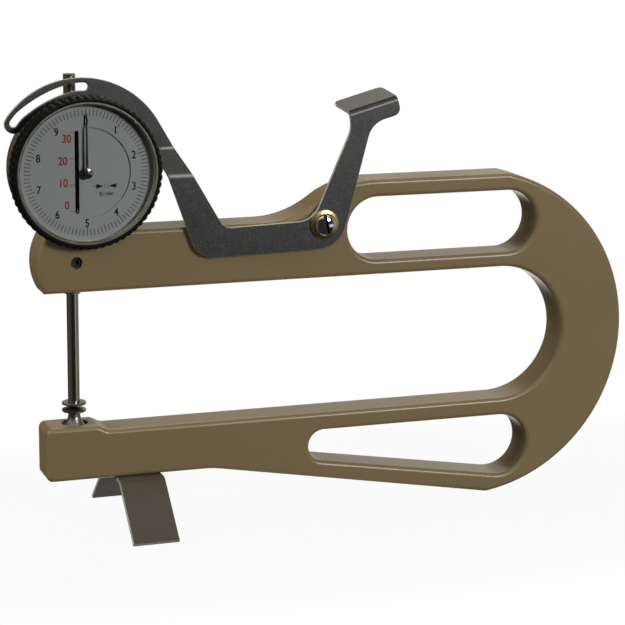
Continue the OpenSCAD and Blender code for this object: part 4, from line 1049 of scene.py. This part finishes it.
def makeArrows(s):
    z, half, blunt = s["height"], s["half"], s["blunt"]
    tail, thin = s["tail"]
    corners = []
    for tip, way in s["tips"]:
        base = tip - way * s["length"]
        corners.append([[base, z - half], [tip, z - blunt], [tip, z + blunt], [base, z + half]])
        corners.append(boxCorners(base - way * tail, base, z - thin, z + thin))
    wide, tall = s["bar"]
    corners += [boxCorners(x - wide, x + wide, z - tall, z + tall) for x in s["bars"]]
    printBoxes("gapArrows", corners, "inkBlack", "gauge_frame")


# a turned cap over the pointer's hub, its height falling with the square of the radius
hubSize = {"radius": 2.15, "skirt": 0.05, "rise": 0.48, "sink": 0.12}


def makeHub(s):
    front = lowHigh("pointer")[0][1] + s["sink"]
    t = np.linspace(1, 0, 14)
    dome = np.column_stack([s["radius"] * t, front - s["skirt"] - (s["rise"] - s["skirt"]) * (1 - t ** 2)])
    profile = np.vstack([[[0, front], [s["radius"], front]], dome])
    dress(lathe("pointerCap", profile, dialSpot, count=64), "hubSteel", "pointer_shaft", "bright")


makeMarks(printSize)
makePrints(printSize)
makeArrows(arrowSize)
makeHub(hubSize)
print("dial printed")


# pivot: a cupped brass washer and a slotted round head; rim and cup are a shift and the corner's radius
pivotSize = {
    "washer": 11.5, "washerThick": 1.0, "hole": 4.3, "backRound": 0.15,
    "rim": (0.62, 0.35), "cup": (0.35, 0.6),
    "head": 8.6, "headRise": 2.4, "headSide": 0.7, "shank": 4.0,
    "slot": 1.35, "slotDepth": 1.3, "slotTurn": -10, "slotReach": 6, "slotPast": 5,
}


def makeWasher(s, back):
    bore, rim = s["hole"] / 2, s["washer"] / 2
    front = back - s["washerThick"]
    profile = roundLine([
        [bore, back], [rim, back, s["backRound"]], [rim, back - s["rim"][0], s["rim"][1]],
        [s["head"] / 2 + s["cup"][0], front, s["cup"][1]], [bore, front]], 6)
    washer = lathe("pivotWasher", np.vstack([profile, profile[:1]]), pivotSpot)
    dress(washer, "turnedBrass", "gauge_frame", "brass", "brass_washer")


# the head is a quarter ellipse over a short side: r = R cos a, height = side + (rise - side) sin a
def makeScrew(s, seat):
    end = lowHigh("pivot_screw")[1][1]
    half, shank = s["head"] / 2, s["shank"] / 2
    a = np.radians(np.linspace(0, 90, 16))
    height = s["headSide"] + (s["headRise"] - s["headSide"]) * np.sin(a)
    dome = np.column_stack([half * np.cos(a), seat - height])
    profile = np.vstack([[[0, end], [shank, end], [shank, seat], [half, seat]], dome])
    screw = lathe("pivotHead", profile, pivotSpot, count=96)
    across = wayAt(-s["slotTurn"])
    along = np.array([-across[1], across[0]])
    reach, side = along * s["slotReach"], across * s["slot"] / 2
    corners = pivotSpot + np.array([-reach - side, -reach + side, reach + side, reach - side])
    floor = seat - s["headRise"] + s["slotDepth"]
    cutter = tidyMesh(toObject("slotCut", *boxArrays([corners], floor - s["slotPast"], floor)))
    giveFinishes(screw.data, "brightScrew")
    giveFinishes(cutter.data, "blackSteel")
    cutAway(screw, [cutter])
    smoothMesh(screw, 32)
    dress(screw, None, "gauge_frame", "bright", "pivot_screw")


washerBack = lowHigh("brass_washer")[1][1]
makeWasher(pivotSize, washerBack)
makeScrew(pivotSize, washerBack - pivotSize["washerThick"])


# foot: a strip with rounded cut edges, its section carried along the bent line in Y and Z
footSize = {"width": 18, "thick": 1.6, "flat": 12, "angle": 42, "bend": 4, "round": 0.3, "cutFacing": 0.3}


def makeFoot(s):
    centreX = spotOf("foot")[0]
    top = castingSize["armClear"] - s["thick"] / 2
    fall = np.radians(s["angle"])
    low = s["thick"] / 2 * np.cos(fall)
    reach = s["flat"] + (top - low) / np.tan(fall)
    line = roundLine([[-reach, low], [-s["flat"], top, s["bend"]], [s["flat"], top, s["bend"]], [reach, low]],
                     16, closed=False)
    side = leftOf(runsOf(line))
    w, t, r = s["width"] / 2, s["thick"] / 2, s["round"]
    section = roundLine([[-w, -t, r], [w, -t, r], [w, t, r], [-w, t, r]], 4)
    x = centreX + np.repeat(section[None, :, 0], len(line), 0)
    yz = line[:, None, :] + side[:, None, :] * section[None, :, 1:2]
    grid = np.stack([x, yz[..., 0], yz[..., 1]], -1)
    count = len(section)
    caps = [list(range(count)), list(range((len(line) - 1) * count, len(line) * count))]
    faces = gridFaces(len(line), count).tolist() + caps
    foot = tidyMesh(toObject("footStrip", grid.reshape(-1, 3), faces), 40)
    weighNormals(foot)
    # the ends and cut sides take the lighter steel: bare cut metal and a painted edge highlight
    giveFinishes(foot.data, "footSteel", "cutSteelAndEdgeHighlight")
    isCap = faceValues(foot.data, "loop_total", 1)[:, 0] > 4
    pickSecond(foot.data, isCap | (np.abs(faceValues(foot.data, "normal")[:, 0]) > s["cutFacing"]))
    dress(foot, None, "gauge_frame", "foot_grey", "foot")


makeFoot(footSize)
print("pivot and foot made")


# studio: a white table and a pale backdrop behind it; the room on the viewer's side is dim.
# names that end in X, Y or Z are where a light begins and is full, along that axis of a ray's direction
studio = {
    "level": 0.375, "low": 0.26, "horizonZ": (-0.1, 0.05), "top": 0.08, "topZ": (0.0, 1.0), "tilt": 0.10,
    "left": 10.0, "leftWay": (-0.74, 0.03, 0.672), "leftEdge": (0.94, 0.985),
    "backdrop": 0.95, "backdropTone": (1, 0.945, 0.855, 1),
    "backdropX": (-0.02, 0.5), "backdropY": (0.35, 0.6),
    "lower": 2.0, "lowerX": (0.0, 0.25), "lowerZ": (0.0, -0.3), "dark": 0.02,
    "ceilingZ": (0.4, 0.75), "ceilingFront": 0.9, "frontY": (-0.2, -0.5),
    "ceilingBack": 3.7, "backX": (-0.02, 0.15), "backY": (0.3, 0.65),
    "room": (0.026, 0.023, 0.022, 1), "leftSide": (0.13, 0.11, 0.075, 1), "leftX": (-0.5, -0.9),
    "rightSide": (0.36, 0.34, 0.28, 1), "rightX": (0.7, 0.95),
    "panel": 0.75, "panelWay": (0.665, -0.740, -0.10), "panelEdge": (0.955, 0.985), "panelDrop": 0.21,
    "panelHalf": (0.12, 0.06),
    "tableHalf": (0.26, 0.13), "tableDrop": 0.02, "tableTone": (0.24, 0.24, 0.24, 1), "tableRough": 0.9,
    "tableFlat": 0.75, "tableMirror": (0.14, 0.25), "tableSheen": 0.7, "tableGlow": 0.95,
    "keyPower": 26.5, "keySize": 0.5, "keyPlace": (0.85, -1.80, 0.70), "keyAim": (0, 0, 0.09),
}


# 1 for rays from the camera, also through the crystal, and 0 for rays that light a surface
def seenStraight(tree, path):
    bounces = mathNode(tree, "ADD", path["Diffuse Depth"], path["Glossy Depth"])
    early = mathNode(tree, "LESS_THAN", bounces, 0.5)
    through = mathNode(tree, "MULTIPLY", path["Is Transmission Ray"], early)
    return mathNode(tree, "MAXIMUM", path["Is Camera Ray"], through)


def makeWorld(s):
    world = bpy.data.worlds.new("studio")
    bpy.context.scene.world = world
    world.use_nodes = True
    tree = world.node_tree
    tree.nodes.clear()
    ways = addNode(tree, "ShaderNodeTexCoord").outputs["Generated"]
    axes = addNode(tree, "ShaderNodeSeparateXYZ", Vector=ways).outputs
    path = addNode(tree, "ShaderNodeLightPath").outputs

    def times(a, b):
        return mathNode(tree, "MULTIPLY", a, b)

    def larger(a, b):
        return mathNode(tree, "MAXIMUM", a, b)

    # the last letter of a limit's name is its axis
    def ramp(name, low=0.0, high=1.0):
        return rampNode(tree, axes[name[-1]], *s[name], low, high)

    def towards(way, edge):
        return rampNode(tree, vectorNode(tree, "DOT_PRODUCT", "Value", ways, s[way]), *s[edge])

    def light(colour, strength=1.0):
        return addNode(tree, "ShaderNodeBackground", Color=colour, Strength=strength).outputs[0]

    # what lights the surfaces
    level = ramp("horizonZ", s["low"], s["level"])
    for part, share in ((ramp("topZ"), "top"), (towards("leftWay", "leftEdge"), "left"), (axes["Y"], "tilt")):
        level = mathNode(tree, "MULTIPLY_ADD", part, s[share], level)
    soft = light(plainWhite, larger(level, 0.0))

    # what bright metal mirrors
    rightward = larger(ramp("backdropX"), times(times(ramp("lowerX"), ramp("lowerZ")), s["lower"]))
    behind = times(times(ramp("backdropY"), rightward), s["backdrop"])
    frontAbove = ramp("frontY", high=s["ceilingFront"])
    backAbove = times(ramp("backY", high=s["ceilingBack"]), ramp("backX"))
    brightness = larger(behind, times(ramp("ceilingZ"), larger(frontAbove, backAbove)))
    leftPart = mixColour(tree, ramp("leftX"), s["room"], s["leftSide"])
    room = light(mixColour(tree, ramp("rightX"), leftPart, s["rightSide"]))
    height = mathNode(tree, "ABSOLUTE", mathNode(tree, "ADD", axes["Z"], s["panelDrop"]))
    beside = times(towards("panelWay", "panelEdge"), rampNode(tree, height, *s["panelHalf"]))
    fronts = mixShader(tree, beside, room, light(plainWhite, s["panel"]))
    isBright = mathNode(tree, "GREATER_THAN", brightness, s["dark"])
    mirrored = mixShader(tree, isBright, fronts, light(s["backdropTone"], brightness))

    inside = times(path["Is Transmission Ray"], path["Glossy Depth"])
    lit = mixShader(tree, larger(path["Is Glossy Ray"], inside), soft, mirrored)
    seen = mixShader(tree, seenStraight(tree, path), lit, light(plainWhite))
    addNode(tree, "ShaderNodeOutputWorld", Surface=seen)


# an oval white table, x = a r cos t and y = b r sin t, that fades into the white surround at its rim;
# only its middle is mirrored
def makeTable(s):
    r, t = np.meshgrid(np.linspace(0, 1, 9), np.linspace(0, 2 * np.pi, 96, endpoint=False), indexing="ij")
    a, b = s["tableHalf"]
    height = np.full(r.shape, -s["tableDrop"])
    grid = np.stack([a * r * np.cos(t) / mm - spindleX, b * r * np.sin(t) / mm, height], -1)
    table = tidyMesh(toObject("table", grid.reshape(-1, 3), gridFaces(*r.shape)))
    finish, tree, shader = newFinish("paleTable", Base_Color=s["tableTone"], Roughness=s["tableRough"],
                                     Specular_IOR_Level=0.0)
    path = addNode(tree, "ShaderNodeLightPath").outputs
    share = vectorNode(tree, "DIVIDE", "Vector", objectPlace(tree), (a, b, 1))
    reach = vectorNode(tree, "LENGTH", "Value", share)
    outer = mathNode(tree, "MULTIPLY", path["Is Glossy Ray"], rampNode(tree, reach, *s["tableMirror"]))
    hidden = mathNode(tree, "MAXIMUM", rampNode(tree, reach, s["tableFlat"], 1.0), outer)
    bright = mathNode(tree, "MULTIPLY", seenStraight(tree, path), s["tableGlow"])
    sheen = mathNode(tree, "MULTIPLY", path["Is Glossy Ray"], s["tableSheen"])
    glow = addNode(tree, "ShaderNodeEmission", Color=plainWhite, Strength=1.0).outputs[0]
    clear = addNode(tree, "ShaderNodeBsdfTransparent").outputs[0]
    top = mixShader(tree, mathNode(tree, "MAXIMUM", bright, sheen), shader.outputs[0], glow)
    tree.links.new(mixShader(tree, hidden, top, clear), tree.nodes["Material Output"].inputs["Surface"])
    table.data.materials.append(finish)


def makeKey(s):
    data = bpy.data.lights.new("keyLight", "AREA")
    data.energy = s["keyPower"]
    data.size = s["keySize"]
    key = addObject("keyLight", data)
    key.location = s["keyPlace"]
    aim = Vector(s["keyAim"]) - Vector(s["keyPlace"])
    key.rotation_euler = aim.to_track_quat("-Z", "Y").to_euler()


makeWorld(studio)
makeTable(studio)
makeKey(studio)
bpy.context.scene.view_settings.view_transform = "Standard"
bpy.context.scene.cycles.caustics_refractive = False
print("studio lit")
